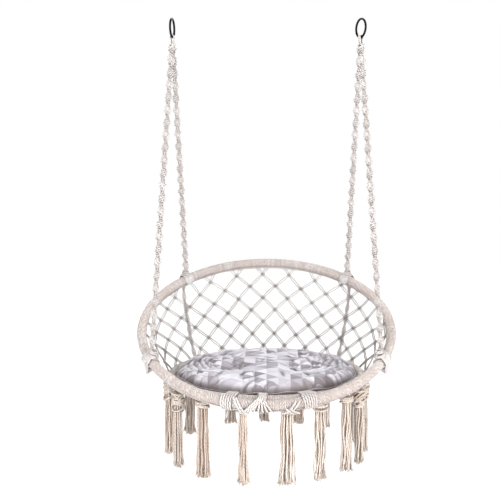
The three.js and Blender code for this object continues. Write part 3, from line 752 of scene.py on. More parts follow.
# %% [markdown]
# ## The net of the back
# Doubled cords cross in diamonds between the rear halves of the hoops, with a square knot at
# each crossing. The crossings follow the same rule as the CAD: columns run from hoop to hoop
# and fan out away from the rear, and the rows rise there, so that the upper hoop cuts them
# off. The cords are lines for the cord tree, bowed a little by chance, and the knots are
# instances set on the crossings.

# %% Net crossings
net_columns = 14
net_rows = range(-3, 8)
net_shift_share = 0.355
net_start_share = -0.027
net_row_share = 0.129
straight_columns = 1.2
fan_columns = 5
start_fan = (-0.036, 0.403)
row_fan = (-0.029, 0.085)
seat_fan = (1.6, 16.5)
rim_fan = (2.8, 6.6)
seat_column_angle = 13.6
rim_column_angle = 14.3
net_half_angle = 97
net_edge_gap = 20 * mm
back_net_seed = 21
rim_leg_share = 0.33
seat_leg_share = 0.45
rear_angle = 180


def net_offset(column):
    return column - net_columns / 2 + net_shift_share


def fanned(column, fan):
    """What a rule gains away from the straight columns at the rear."""
    share = max(abs(net_offset(column)) - straight_columns, 0) / fan_columns
    return share * (fan[0] + fan[1] * share)


def net_turns(column):
    """How far from the rear a column starts on the seat hoop and ends on the upper hoop."""
    offset = net_offset(column)
    side = math.copysign(1, offset)
    low = seat_column_angle * offset + side * fanned(column, seat_fan)
    high = rim_column_angle * offset + side * fanned(column, rim_fan)
    return low, high


def net_line(column):
    low, high = net_turns(column)
    return seat.point(rear_angle - low), rim.point(rear_angle - high)


def row_share(column):
    return net_row_share + fanned(column, row_fan)


def net_share(column, row):
    return net_start_share + fanned(column, start_fan) + row * row_share(column)


def net_point(column, row):
    low, high = net_line(column)
    return low.lerp(high, net_share(column, row))


def past_side(column, row):
    low, high = net_turns(column)
    return abs(low + (high - low) * net_share(column, row)) > net_half_angle


def on_net(column, row):
    low, high = net_line(column)
    length = (high - low).length
    inside = net_edge_gap < net_share(column, row) * length < length - net_edge_gap
    return inside and not past_side(column, row)


def net_axes(column, row):
    right = (net_point(column + 0.5, row) - net_point(column - 0.5, row)).normalized()
    low, high = net_line(column)
    rise = high - low
    rise = (rise - right * rise.dot(right)).normalized()
    return right, rise, right.cross(rise)


# %% Square knot tree
square_lean = math.radians(14)
square_lift_share = 0.95
square_loop_share = 1.1


def square_knot_tree():
    floats = ["Half Width", "Half Depth", "Cord Radius", "Lean", "Loop Radius"]
    tree, given = start_tree("Square knots on points", floats)
    sizes = [given[label] for label in floats[:3]]
    halves = []
    for side in (-1.0, 1.0):
        half = half_knot(tree, *sizes, times(tree, given["Lean"], side), given["Loop Radius"])
        lift = times(tree, given["Cord Radius"], square_lift_share * side)
        halves.append(transformed(tree, half, Translation=combined(tree, 0.0, 0.0, lift)))
    points = node(tree, "GeometryNodeMeshToPoints", {0: given["Geometry"]}).outputs[0]
    feeds = {"Points": points, "Instance": joined_up(tree, *halves)}
    feeds["Rotation"] = named(tree, "way", "QUATERNION")
    feeds["Scale"] = combined(tree, *[named(tree, "girth")] * 3)
    knots = node(tree, "GeometryNodeInstanceOnPoints", feeds).outputs[0]
    return end_tree(tree, knots, given["Finish"])


square_knot_nodes = square_knot_tree()


class Knots:
    """Places for square knots, gathered before one run of the tree."""

    def __init__(self):
        self.points = []
        self.ways = []
        self.girths = []

    def add(self, point, right, rise, girth=1.0):
        out = rise.cross(right)
        turned = Matrix((right, out, rise)).transposed().to_quaternion()
        self.points.append(tuple(point))
        self.ways.extend(turned)
        self.girths.append(girth)

    def make(self, name, half_width, half_depth, cord_radius, finish):
        guide = bpy.data.meshes.new(name)
        guide.from_pydata(self.points, [], [])
        guide.attributes.new("way", "QUATERNION", "POINT").data.foreach_set("value", self.ways)
        guide.attributes.new("girth", "FLOAT", "POINT").data.foreach_set("value", self.girths)
        values = {
            "Half Width": half_width,
            "Half Depth": half_depth,
            "Cord Radius": cord_radius,
            "Lean": square_lean,
            "Loop Radius": cord_radius * square_loop_share,
            "Finish": finish,
        }
        made = grown(name, square_knot_nodes, values, guide)
        print(f"{name}: {len(self.points)} knots, {len(made.data.polygons)} faces")
        return made


def all_round(count, at):
    """The points of a closed cord, each from its angle."""
    return [at(full_turn * i / count) for i in range(count)]


def joined(first, *others):
    """One object from several that are one piece."""
    with bpy.context.temp_override(
        active_object=first,
        selected_editable_objects=[first, *others],
        selected_objects=[first, *others],
    ):
        bpy.ops.object.join()
    return first


# %% The back net
net_cord = 1.65 * mm
net_knot_half_width = 5.8 * mm
net_knot_half_depth = 5.0 * mm
pair_spread = 3.3 * mm
net_bow = 1.6 * mm
edge_bulge_share = 0.12
painted_low_shade = 0.55
pair_shares = (0.0, 0.12, 0.34, 0.66, 0.88, 1.0)
sink_share = 0.8
pinch_share = 0.5
pinch_rate = 5
pair_tone = 0.35
knot_girths = (0.93, 1.07)


def net_pair(cords, chance, start, end, out, sink=0.0):
    """Two cords side by side between two points, bowed by chance."""
    run = (end - start).normalized()
    across = run.cross(out).normalized()
    end = end - run * sink
    bow = across * chance.uniform(-net_bow, net_bow) + out * chance.uniform(-net_bow, net_bow)
    for side in (-1, 1):
        own_bow = bow + across * side * chance.uniform(0, net_bow / 3)
        spread = across * side * pair_spread
        points = []
        for share in pair_shares:
            swell = math.sin(math.pi * share)
            open_share = min(1.0, pinch_rate * share, pinch_rate * (1 - share))
            pinch = pinch_share + (1 - pinch_share) * open_share
            points.append(start.lerp(end, share) + spread * pinch + own_bow * swell)
        # Painted shade: each pair is darker the nearer it lies to the seat hoop.
        low = (rim.centre.z - start.z) / (rim.centre.z - seat.centre.z)
        cords.add(points, shade=chance.uniform(0, pair_tone) + painted_low_shade * low)


def net_leg(cords, chance, column, row, across, rises):
    """A pair from a knot to the hoop above or below it."""
    share = net_share(column, row)
    rest = (1 - share if rises else share) / row_share(column)
    leg_share = (rim_leg_share if rises else seat_leg_share) * min(rest, 1)
    end = net_line(column + 2 * across * leg_share)[1 if rises else 0]
    out = net_axes(column, row)[2]
    net_pair(cords, chance, net_point(column, row), end, out, cover_radius * sink_share)


def net_edge_loop(cords, chance, column, row, across):
    """At a side edge a pair turns back to the knot two rows up."""
    start = net_point(column, row)
    end = net_point(column, row + 2)
    right, rise, out = net_axes(column, row)
    swell = right * across * (start - end).length * edge_bulge_share
    middle = start.lerp(end, 0.5) + swell
    net_pair(cords, chance, start, middle, out)
    net_pair(cords, chance, middle, end, out)


def back_net():
    chance = random.Random(back_net_seed)
    cords = Cords()
    knots = Knots()
    places = [(i / 2, row) for row in net_rows for i in range(2 * net_columns + 1)]
    places = {(c, r) for c, r in places if (2 * c) % 2 == r % 2 and on_net(c, r)}
    for column, row in sorted(places):
        right, rise, out = net_axes(column, row)
        knots.add(net_point(column, row), right, rise, chance.uniform(*knot_girths))
        for across in (-0.5, 0.5):
            for step in (1, -1):
                beside = (column + across, row + step)
                if beside in places:
                    if step > 0:
                        ends = (net_point(column, row), net_point(*beside))
                        net_pair(cords, chance, *ends, out)
                elif past_side(*beside) and (column, row + 2 * step) in places:
                    if step > 0:
                        net_edge_loop(cords, chance, column, row, across)
                else:
                    net_leg(cords, chance, column, row, across, step > 0)
    net = cords.sweep("back_net_cords", net_cord, net_cotton, sides=6, steps=2)
    sizes = (net_knot_half_width, net_knot_half_depth, net_cord)
    made = joined(net, knots.make("back_net_knots", *sizes, net_cotton))
    dressed(made, "chair", "net", *nodes_named("back_net"))


back_net()

# %% [markdown]
# ## The rings and the rope eyes
# Two rings of dark polished wire hang free at the top. Each carries three cords looped over
# its lower wire, and a wound knot draws those cords together above the ropes.

# %% Rings
ring_radius = 27 * mm
ring_wire = 3.3 * mm
ring_drop = ring_radius - ring_wire
ring_swivels = {"left": -7, "right": 25}
ring_steps = 48
weld_girth = 1.16


class RingFrame:
    """A hanging ring's own directions: across its plane, and along its lower wire."""

    def __init__(self, sign, side):
        turn = math.radians(ring_swivels[side])
        self.centre = Vector((sign * ring_half_span, 0, -ring_drop))
        self.across = Vector((math.cos(turn), math.sin(turn), 0))
        self.wire = Vector((-math.sin(turn), math.cos(turn), 0))

    def at(self, across, wire, height):
        return self.centre + self.across * across + self.wire * wire + up * height


def hanging_ring(sign, side):
    place = RingFrame(sign, side)
    girths = [weld_girth if i == ring_steps // 3 else 1.0 for i in range(ring_steps)]

    def at(angle):
        return place.at(0, ring_radius * math.sin(angle), ring_radius * math.cos(angle))

    ring = Cords()
    ring.add(all_round(ring_steps, at), closed=True, girth=girths)
    name = f"hanging_ring_{side}"
    wire = ring.sweep(f"{name}_wire", ring_wire, ring_metal, sides=20, steps=2)
    dressed(wire, "hangers", "ring", name)


# %% Eyes
eye_cord = 1.9 * mm
eye_loops = (-3.9 * mm, 0.0, 3.9 * mm)
eye_half_width = 5.8 * mm
eye_width_shares = (0.25, 0.45, 0.8, 1.0, 0.72)
eye_tuck = 8 * mm
eye_shoulder = 1.4 * mm
eye_clearance = 0.3 * mm
eye_tilts = (0.6 * mm, 2.4 * mm)
eye_swell_loss = 0.5
cord_shades = (0, 0.3)
strap_shades = (0, 0.2)
eye_seed = 31
eye_knot_halves = (9.5 * mm, 19 * mm, 11 * mm)
eye_knot_turns = 5
eye_turn_points = 16
eye_turn_start = 0.6
eye_strap_points = 9
eye_strap_widening = 0.5 * mm
eye_strap_deepening = 0.4 * mm
eye_top = ring_wire - ring_radius + eye_cord + eye_clearance
knot_line_cord = 2.2 * mm


def eye_loop(wire):
    """A cord over the ring's lower wire, from inside the knot and back, as (across, height)."""
    knot_top = -eye_knot_drop + ring_drop + eye_knot_halves[2]
    below_wire = -ring_radius - 2 * ring_wire
    heights = (knot_top - eye_tuck, knot_top, below_wire, -ring_radius, eye_top - eye_shoulder)
    half = [(share * eye_half_width, height) for share, height in zip(eye_width_shares, heights)]
    other = [(-across, height) for across, height in reversed(half)]
    return [(across, wire, height) for across, height in [*half, (0.0, eye_top), *other]]


def oval_turn(place, half_width, half_depth, height, tilt):
    def at(angle):
        rise = tilt * math.sin(angle + eye_turn_start)
        return place.at(half_width * math.cos(angle), half_depth * math.sin(angle), height + rise)

    return all_round(eye_turn_points, at)


def rope_eye(sign, side):
    chance = random.Random(eye_seed + sign)
    place = RingFrame(sign, side)
    cords = Cords()
    for wire in eye_loops:
        loop = [place.at(*point) for point in eye_loop(wire)]
        cords.add(loop, girth=eye_cord / knot_line_cord, shade=chance.uniform(*cord_shades))
    place.wire = Vector((0, 1, 0))
    place.across = Vector((1, 0, 0))
    middle = -eye_knot_drop + ring_drop
    half_width, half_depth, half_height = eye_knot_halves
    for i in range(eye_knot_turns):
        share = 2 * i / (eye_knot_turns - 1) - 1
        swell = math.sqrt(1 - eye_swell_loss * share * share)
        height = middle + share * (half_height - knot_line_cord)
        sizes = (half_width * swell - knot_line_cord, half_depth * swell - knot_line_cord)
        tilt = chance.uniform(*eye_tilts) * (-1) ** i
        turn = oval_turn(place, *sizes, height, tilt)
        cords.add(turn, closed=True, shade=chance.uniform(*cord_shades))
    for lean in (-1, 1):
        points = []
        for i in range(eye_strap_points):
            share = i / (eye_strap_points - 1)
            angle = full_turn / 4 * (2 * share - 1) + full_turn / 2
            height = middle + lean * (2 * share - 1) * (half_height - knot_line_cord)
            across = (half_width + eye_strap_widening) * math.sin(angle) * -lean
            depth = (half_depth + eye_strap_deepening) * math.cos(angle)
            points.append(place.at(across, depth, height))
        cords.add(points, shade=chance.uniform(*strap_shades))
    name = f"rope_eye_{side}"
    dressed(cords.sweep(f"{name}_cords", knot_line_cord, rope_cotton), "chair", "rope", name)


for sign, side in side_names.items():
    hanging_ring(sign, side)
    rope_eye(sign, side)

# %% [markdown]
# ## The lashings
# Where a rope meets a hoop, its cords open out, cross over the wound hoop and are drawn
# together below it. Each lashing has its own directions, along the hoop, up the rope and
# outwards, and the same few lines are scaled to the size of each one.

# %% Lashing frame
front_halves = (32 * mm, 40 * mm, 24 * mm)
rear_halves = (24 * mm, 32 * mm, 22 * mm)
seat_halves = (20 * mm, 24 * mm, 21 * mm)
lashing_cord = 2.3 * mm
lashing_width_share = 0.62
hold_rise = 3 * mm
loose_limit = 2.0 * mm
turn_shades = (-0.7, 0.4)
spread_share = 0.8
point_spread_share = 0.22
cross_width_share = 0.1
cross_drop_share = 0.15
front_rise_share = 0.45
round_drop_share = 0.8
round_depth_share = 0.72
back_drop_share = 0.1
back_rise_share = 0.7
back_depth_share = 0.8
gather_shades = (0, 0.35)
point_start = 0.4
line_shake = 0.8 * mm
cross_lift = 2.6 * mm
gather_tilt = 2.5 * mm
rope_gathers = (
    (2 * mm, 0.62, 0.7),
    (7 * mm, 0.5, 0.62),
    (12 * mm, 0.4, 0.52),
    (17 * mm, 0.32, 0.44),
)
point_gathers = ((-5 * mm, 0.34, 0.36), (-10 * mm, 0.24, 0.3))
gather_points = 14
point_ends = 5
point_girth = 0.8
tip_radius = 3.4 * mm
tip_drop = 4 * mm
root_radius = 7 * mm
root_drop = 3 * mm


class Spot:
    """The place of a lashing: along the hoop, up its rope, and outwards across both."""

    def __init__(self, hoop, angle, towards, halves):
        self.centre = hoop.point(angle)
        self.along = hoop.along(angle)
        self.height = (towards - self.along * towards.dot(self.along)).normalized()
        self.depth = self.along.cross(self.height)
        self.halves = halves

    def at(self, along, height, depth):
        return self.centre + self.along * along + self.height * height + self.depth * depth

    def reach(self, direction):
        axes = (self.along, self.height, self.depth)
        return math.hypot(*[direction.dot(axis) * half for axis, half in zip(axes, self.halves)])


def lashing(name, spot, turns, has_point, seed):
    """Crossing turns round the hoop, gathered above it by the rope and, in front, below it."""
    chance = random.Random(seed)
    cords = Cords()
    hold = cover_radius + lashing_cord
    half_along, half_height, half_depth = spot.halves
    half_along -= lashing_cord
    point = half_height - lashing_cord
    for i in range(turns):
        share = 2 * i / (turns - 1) - 1
        wide = half_along * share * lashing_width_share
        cross = -wide if i % 2 else wide
        low = -point if has_point else -hold
        loose = chance.uniform(0, loose_limit)
        gather = cross * (point_spread_share if has_point else spread_share)
        middle = 0.5 * (wide + cross) + cross_width_share * wide
        front_rise = front_rise_share * hold
        round_drop = round_drop_share * hold
        round_depth = round_depth_share * hold
        line = [
            (wide * spread_share, hold + hold_rise, front_rise),
            (wide, front_rise, hold + loose),
            (middle, -cross_drop_share * hold, hold + cross_lift + loose),
            (cross * spread_share, -round_drop, round_depth + loose),
            (gather, low, 0.0),
            (cross * spread_share, -round_drop, -round_depth),
            (wide, -back_drop_share * hold, -hold - loose),
            (wide, back_rise_share * hold, -back_depth_share * hold),
        ]
        points = [spot.at(a, h + chance.uniform(-line_shake, line_shake), d) for a, h, d in line]
        cords.add(points, closed=True, shade=chance.uniform(*turn_shades))
    gathered = [(hold + rise, *shares) for rise, *shares in rope_gathers]
    if has_point:
        gathered += [(rise - hold, *shares) for rise, *shares in point_gathers]
    for height, width_share, depth_share in gathered:
        if abs(height) > half_height:
            continue
        tilt = chance.uniform(-gather_tilt, gather_tilt)

        def at(angle):
            along = half_along * width_share * math.cos(angle)
            depth = half_depth * depth_share * math.sin(angle)
            return spot.at(along, height + tilt * math.cos(angle), depth)

        points = all_round(gather_points, at)
        cords.add(points, closed=True, shade=chance.uniform(*gather_shades))
    if has_point:
        for k in range(point_ends):
            angle = full_turn * k / point_ends + point_start
            aside = math.cos(angle)
            deep = math.sin(angle)
            tip = spot.at(tip_radius * aside, -point - tip_drop, tip_radius * deep)
            root = spot.at(root_radius * aside, -hold - root_drop, root_radius * deep)
            line = [root, root.lerp(tip, 0.5), tip]
            cords.add(line, girth=point_girth, shade=chance.uniform(*cord_shades))
    dressed(cords.sweep(f"{name}_cords", lashing_cord, rope_cotton), "chair", "rope", name)


# %% Lashings and rope tails
tail_half_width = 7 * mm
tail_half_depth = 5 * mm
tail_lead = 18 * mm
tail_cord = 1.8 * mm
tail_pitch = 6.4 * mm
tail_points = 20
tail_seed = 40


def bezier(start, first, second, end, count):
    points = []
    for i in range(count):
        t = i / (count - 1)
        u = 1 - t
        points.append(start * u**3 + first * 3 * u * u * t + second * 3 * u * t * t + end * t**3)
    return points


def rear_tail(sign, side, rim_spot, seat_spot):
    """The rear rope goes on from the upper hoop to the seat hoop, slack behind the net."""
    angle = sign * tail_angle
    fall = (seat.point(angle) - rim.point(sign * rear_rope_angle)).normalized()
    outward = seat.along(angle).cross(rim.point(angle) - seat.point(angle)).normalized()
    leave = (outward + fall).normalized()
    arrive = (outward - fall).normalized()
    start = rim_spot.centre + leave * (rim_spot.reach(leave) - tail_half_depth)
    end = seat_spot.centre + arrive * (seat_spot.reach(arrive) - tail_half_depth)
    points = bezier(start, start + leave * tail_lead, end + arrive * tail_lead, end, tail_points)
    sizes = (tail_half_width, tail_half_depth, tail_cord, tail_pitch)
    spiral(f"rear_tail_{side}", points, *sizes, tail_seed + sign, "hanging")


for sign, side in side_names.items():
    front_angle = sign * front_rope_angle
    back_angle = sign * rear_rope_angle
    front_rise = eye_knot(sign) - rope_step - rim.point(front_angle)
    rear_rise = eye_knot(sign) + rope_step - rim.point(back_angle)
    tail_rise = rim.point(back_angle) - seat.point(sign * tail_angle)
    front = Spot(rim, front_angle, front_rise, front_halves)
    rear = Spot(rim, back_angle, rear_rise, rear_halves)
    lower = Spot(seat, sign * tail_angle, tail_rise, seat_halves)
    lashing(f"front_lashing_{side}", front, 13, True, 51 + sign)
    lashing(f"rear_lashing_{side}", rear, 10, False, 61 + sign)
    lashing(f"seat_lashing_{side}", lower, 8, False, 71 + sign)
    rear_tail(sign, side, rear, lower)

# %% [markdown]
# ## The hoop lashings
# At the front the two hoops lie side by side, and three lashings wind round both. Each turn
# goes over the upper hoop, under both and back over the seat hoop. The middle lashing fans
# out from the top. Loose cords cross both hoops from there to the left, and over the right
# lashing.

# %% Turns round both hoops
band_cord = 2.9 * mm
band_gap = 0.7 * mm
band_steps = 18
round_rim_share = 0.36
under_share = 0.14
line_steps = 4
band_wobble = 0.5 * mm
band_shade = 0.1
tie_step = 3 * band_cord
hoop_lashings = {
    "left": (-21.8, 5, 6.1 * mm, 5.2 * mm),
    "middle": (-4.2, 6, 3.2 * mm, 12.4 * mm),
    "right": (17.6, 6, 6.1 * mm, 5.2 * mm),
}
ties = {
    "left": (),
    "middle": (
        (0.0, (-1.5, 20), (-9.5, 150)),
        (0.6 * mm, (-2.5, 20), (-10.8, 150)),
        (1.2 * mm, (-3.5, 20), (-12.1, 150)),
        (3 * mm, (-15.6, 40), (-9.6, 165)),
        (3 * mm, (-14.2, 40), (-8.2, 165)),
    ),
    "right": (
        (0.0, (15.5, 60), (9.5, 165)),
        (3 * mm, (10.5, 95), (15.5, 160)),
        (0.5 * mm, (13.6, 60), (7.6, 165)),
        (3 * mm, (8.6, 95), (13.6, 160)),
    ),
}


def band_place(angle, turn_angle, slide, radius):
    """A point beside both hoops, turn_angle round them from the top, forwards."""
    low = seat.point(angle)
    rim_angle = math.degrees(math.asin(low.x / rim.radius))
    high = rim.point(rim_angle)
    along = (seat.along(angle) + rim.along(rim_angle)).normalized()
    across = high - low
    across = across - along * across.dot(along)
    gap = across.length
    across.normalize()
    over = along.cross(across)
    level = across * (gap * slide + radius * math.sin(turn_angle))
    return low + level - over * (radius * math.cos(turn_angle))


def band_turn(share):
    """The angle and slide of a point that share of the way round both hoops."""
    if share < round_rim_share:
        return math.pi * share / round_rim_share, 1.0
    if share < 0.5:
        return math.pi, 1.0 - (share - round_rim_share) / under_share
    share -= 0.5
    if share < round_rim_share:
        return math.pi * (1 + share / round_rim_share), 0.0
    return full_turn, (share - round_rim_share) / under_share


def tie(cords, chance, radius, start, end):
    """A cord over the front of both hoops, between two pairs of seat angle and turn angle."""
    points = []
    for i in range(line_steps + 1):
        share = i / line_steps
        angle, turn = [a + (b - a) * share for a, b in zip(start, end)]
        points.append(band_place(angle, math.radians(turn), 1.0, radius))
    cords.add(points, shade=chance.uniform(*cord_shades))


def hoop_lashing(side, seed, start_angle, loops, pitch, low_pitch):
    """A cord wound round both hoops, and the loose cords that are tied over it."""
    chance = random.Random(seed)
    cords = Cords()
    radius = cover_radius + band_gap + band_cord
    points = []
    for i in range(loops * band_steps + 1):
        loop = i / band_steps
        turn_angle, slide = band_turn(loop % 1)
        middle = start_angle + math.degrees(loops * pitch / 2 / seat.radius)
        spread = pitch + (low_pitch - pitch) * (1 - math.cos(turn_angle)) / 2
        angle = middle + math.degrees((loop - loops / 2) * spread / seat.radius)
        wobble = radius + chance.uniform(0, band_wobble)
        points.append(band_place(angle, turn_angle, slide, wobble))
    cords.add(points, shade=band_shade)
    for lift, start, end in ties[side]:
        tie(cords, chance, cover_radius + tie_step + lift, start, end)
    name = f"hoop_lashing_{side}"
    made = cords.sweep(f"{name}_cords", band_cord, band_cotton, steps=2)
    dressed(made, "chair", "rope", name)


for number, (side, sizes) in enumerate(hoop_lashings.items(), 81):
    hoop_lashing(side, number, *sizes)

# %% [markdown]
# ## The seat net
# Under the cushion a second net hangs like a bowl in the seat hoop. Its crossings lie on
# three rows, as in the CAD, and a ring cord closes the innermost row.

# %% Seat net
seat_net_columns = 16
seat_sag = 50 * mm
seat_row_shares = (1.0, 0.76, 0.5, 0.24)
bowl_leg_share = 0.2
seat_cord = 1.6 * mm
seat_ring_share = 0.985
seat_ring_girth = 1.3
seat_knot_girths = (0.95, 1.05)
seat_knot_halves = (6.2 * mm, 4.6 * mm)
seat_net_seed = 91


def bowl_point(column, row):
    share = seat_row_shares[row]
    angle = 360 * column / seat_net_columns
    flat = seat.centre + seat.outward(angle) * (share * seat.radius)
    return flat - seat.normal * (seat_sag * (1 - share**2))


def bowl_axes(column, row):
    right = (bowl_point(column + 0.5, row) - bowl_point(column - 0.5, row)).normalized()
    rise = bowl_point(column, row - 1) - bowl_point(column, row)
    rise = (rise - right * rise.dot(right)).normalized()
    return right, rise, right.cross(rise)


def seat_net():
    chance = random.Random(seat_net_seed)
    cords = Cords()
    knots = Knots()
    last_row = len(seat_row_shares) - 1
    for row in range(1, last_row + 1):
        shift = (row % 2) / 2
        for i in range(seat_net_columns):
            column = i + shift
            right, rise, out = bowl_axes(column, row)
            knots.add(bowl_point(column, row), right, rise, chance.uniform(*seat_knot_girths))
            for side in (-1, 1):
                start = bowl_point(column, row)
                if row > 1:
                    end = bowl_point(column + side * 0.5, row - 1)
                    net_pair(cords, chance, start, end, out)
                else:
                    end = bowl_point(column + side * bowl_leg_share, 0)
                    net_pair(cords, chance, start, end, out, cover_radius * sink_share)
    ring = [bowl_point(i / 2 + 0.5, last_row) for i in range(2 * seat_net_columns)]
    inner = [seat.centre.lerp(point, seat_ring_share) for point in ring]
    cords.add(inner, closed=True, girth=seat_ring_girth)
    net = cords.sweep("seat_net_cords", seat_cord, net_cotton, sides=6, steps=2)
    made = joined(net, knots.make("seat_net_knots", *seat_knot_halves, seat_cord, net_cotton))
    dressed(made, "chair", "net", "seat_net")


seat_net()

# %% [markdown]
# ## The tassels
# Sixteen tassels hang under the seat hoop. Each is a bundle of loose cords that hang straight
# down, tied at the top by a few tilted turns of cord, or by a taller bunch of turns in seven
# of them. About the last two centimetres of each cord have come apart into yarns.

# %% Tassel cords
tassel_angles = (-84, -60, -37, -12.5, 11, 30, 50, 67, 86, 108, 139, 158, 181, 204, 238, 256)
tassel_length = 228 * mm
tassel_cord = 2.25 * mm
tassel_rings = ((3, 0.18), (7, 0.56), (11, 0.93))
tassel_half_width = 17 * mm
tassel_half_depth = 13 * mm
tassel_flare = 1.12
tassel_wave = 3.4 * mm
fray_length = 24 * mm
strand_shades = (-0.5, -0.3, -0.1, 0.1, 0.4, 0.8)
fray_yarns = 5
fray_girth = 0.5
fray_spread = 6.5 * mm
clear_gap = 0.3 * mm
tassel_overhang = 6 * mm
head_girth = 1.25
head_heights = {"short": 15 * mm, "tall": 44 * mm}
head_turns = {"short": 4, "tall": 13}
head_tilts = {"short": 0.35, "tall": 0.8}
head_points = 16
first_turn = 0.4
strand_points = 13
strand_length_shares = (0.95, 1.0)
strand_waves = (0.8, 2.4)
strand_wave_shares = (0.3, 1.0)
yarn_length_shares = (0.65, 1.0)
yarn_spread_shares = (0.35, 1.0)
head_squeezes = (0.85, 1.12)
tassel_fullness = (0.9, 1.06)
strand_drift = 3.5 * mm
strand_start_share = 0.86
yarn_back = 4 * mm
yarn_root_share = 0.6
yarn_start_share = 0.55
yarn_end_girth = 0.2
tall_heads = (1, 2, 8, 9, 10, 15, 16)
slim_tassel = 4
slim_fullness = 0.7
wave_start_rate = 3
wave_depth_share = 0.6
fray_shade_share = 0.5
fray_bend_share = 0.35
head_shades = (-0.6, 0.1)
head_width_cords = 0.8
head_depth_cords = 1.4
ring_shake = 0.25
tassel_seed = 100


def tassel_strand(cords, chance, top, right, back, across, depth):
    """One hanging cord, from the hoop to its frayed end."""
    length = (tassel_length - fray_length) * chance.uniform(*strand_length_shares)
    phase = chance.uniform(0, full_turn)
    waves = chance.uniform(*strand_waves)
    size = chance.uniform(*strand_wave_shares) * tassel_wave
    shade = chance.choice(strand_shades)
    drift = chance.uniform(-1, 1) * strand_drift
    points = []
    for i in range(strand_points):
        share = i / (strand_points - 1)
        wave = size * math.sin(full_turn * waves * share + phase) * min(1, wave_start_rate * share)
        spread = strand_start_share + (tassel_flare - strand_start_share) * share
        flat = right * (across * spread + wave + drift * share)
        flat += back * (depth * spread + wave_depth_share * wave)
        points.append(top + flat - up * (share * length))
    cords.add(points, shade=shade)
    end = points[-1]
    fall = (points[-1] - points[-2]).normalized()
    for yarn in range(fray_yarns):
        angle = full_turn * (yarn + chance.random()) / fray_yarns
        away = right * math.cos(angle) + back * math.sin(angle)
        reach = fray_length * chance.uniform(*yarn_length_shares)
        near = away * (tassel_cord * yarn_start_share)
        far = away * fray_spread * chance.uniform(*yarn_spread_shares)
        line = [end - fall * yarn_back + near * yarn_root_share, end + near]
        line.append(end + fall * reach * 0.5 + near.lerp(far, fray_bend_share))
        line.append(end + fall * reach + far)
        cords.add(line, girth=[*[fray_girth] * 3, yarn_end_girth], shade=shade * fray_shade_share)


def tassel_head(cords, chance, top, right, back, kind):
    """Cords knotted round the top of a tassel, each a tilted loop."""
    turns = head_turns[kind]
    tilt_limit = head_tilts[kind]
    for k in range(turns):
        height = -tassel_cord - head_heights[kind] * (k + first_turn) / turns
        squeeze = chance.uniform(*head_squeezes)
        width = (tassel_half_width + head_width_cords * tassel_cord) * squeeze
        depth = (tassel_half_depth + head_depth_cords * tassel_cord) * squeeze
        tilt = chance.uniform(-tilt_limit, tilt_limit)
        start = chance.uniform(0, full_turn)

        def at(turn):
            rise = math.tan(tilt) * width * math.cos(turn + start)
            flat = right * (width * math.cos(turn)) + back * (depth * math.sin(turn))
            return top + flat + up * min(height + rise, -tassel_cord)

        points = all_round(head_points, at)
        cords.add(points, closed=True, girth=head_girth, shade=chance.uniform(*head_shades))


def tassel(number, angle):
    chance = random.Random(tassel_seed + number)
    cords = Cords()
    right = seat.along(angle)
    back = seat.outward(angle)
    top = seat.point(angle) + back * tassel_overhang - up * (cover_radius + clear_gap)
    fullness = slim_fullness if number == slim_tassel else chance.uniform(*tassel_fullness)
    for count, share in tassel_rings:
        for i in range(count):
            turn = full_turn * (i + chance.uniform(-ring_shake, ring_shake)) / count
            across = tassel_half_width * share * fullness * math.cos(turn)
            depth = tassel_half_depth * share * fullness * math.sin(turn)
            tassel_strand(cords, chance, top, right, back, across, depth)
    tassel_head(cords, chance, top, right, back, "tall" if number in tall_heads else "short")
    name = f"tassel_{number:02d}"
    made = cords.sweep(f"{name}_cords", tassel_cord, tassel_cotton, sides=6, steps=2)
    dressed(made, "chair", "tassel", name)


for number, tassel_angle in enumerate(tassel_angles, 1):
    tassel(number, tassel_angle)

# %% [markdown]
# ## The cushion
# The cushion starts as the CAD solid, remeshed fine and a little thinner. Cloth with inner
# pressure swells it, with the sewn tufts held down, so the cloth pulls into creases between
# them. No point may move far from its solid. The filling is never quite even, so the sewn
# cover is then given soft lumps, creases that run out from each tuft, a few listed long folds,
# ripples at both sides, fine wrinkles, and gathers along the seam. How deep each crease lies
# is kept on the points, and there the colour is painted darker as shade.
# The print of triangles follows the cloth, by a map that measures along the surface.

# %% Cushion shape
cushion_voxel = 5 * mm
cushion_start_share = 0.985
swell_cap = 9 * mm
cushion_pressure = 4.0
cushion_frames = 20
cushion_radius = 276 * mm
tuft_circle = 118 * mm
tuft_shares = ((-0.7, -0.74), (0.7, -0.74), (-0.86, 0.6), (0.86, 0.6))
tuft_hold = 9 * mm


def coordinates(mesh):
    flat = np.empty(len(mesh.vertices) * 3)
    mesh.vertices.foreach_get("co", flat)
    return flat.reshape(-1, 3)


def from_middle(mesh):
    """A mesh's points, and their offsets and distances from the middle, seen from above."""
    places = coordinates(mesh)
    flat = places[:, :2] - np.array(seat.centre)[:2]
    return places, flat, np.linalg.norm(flat, axis=1)


def set_coordinates(mesh, places):
    mesh.vertices.foreach_set("co", places.ravel())
    mesh.update()


def cushion_body():
    """The CAD solid, merged, a little smaller and remeshed into even faces."""
    shape = bmesh.new()
    shape.from_mesh(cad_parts["cushion"].data)
    bmesh.ops.remove_doubles(shape, verts=shape.verts, dist=0.01 * mm)
    mesh = bpy.data.meshes.new("cushion_cover")
    shape.to_mesh(mesh)
    shape.free()
    places = coordinates(mesh)
    middle = places.mean(0)
    set_coordinates(mesh, middle + (places - middle) * cushion_start_share)
    body = bpy.data.objects.new("cushion_cover", mesh)
    scene.collection.objects.link(body)
    remesh = body.modifiers.new("remesh", "REMESH")
    remesh.mode = "VOXEL"
    remesh.voxel_size = cushion_voxel
    settle(body)
    print(f"Cushion start: {len(body.data.vertices)} points")
    return body


def tuft_centres():
    middle = np.array(seat.centre)[:2]
    return [middle + np.array(shares) * tuft_circle for shares in tuft_shares]


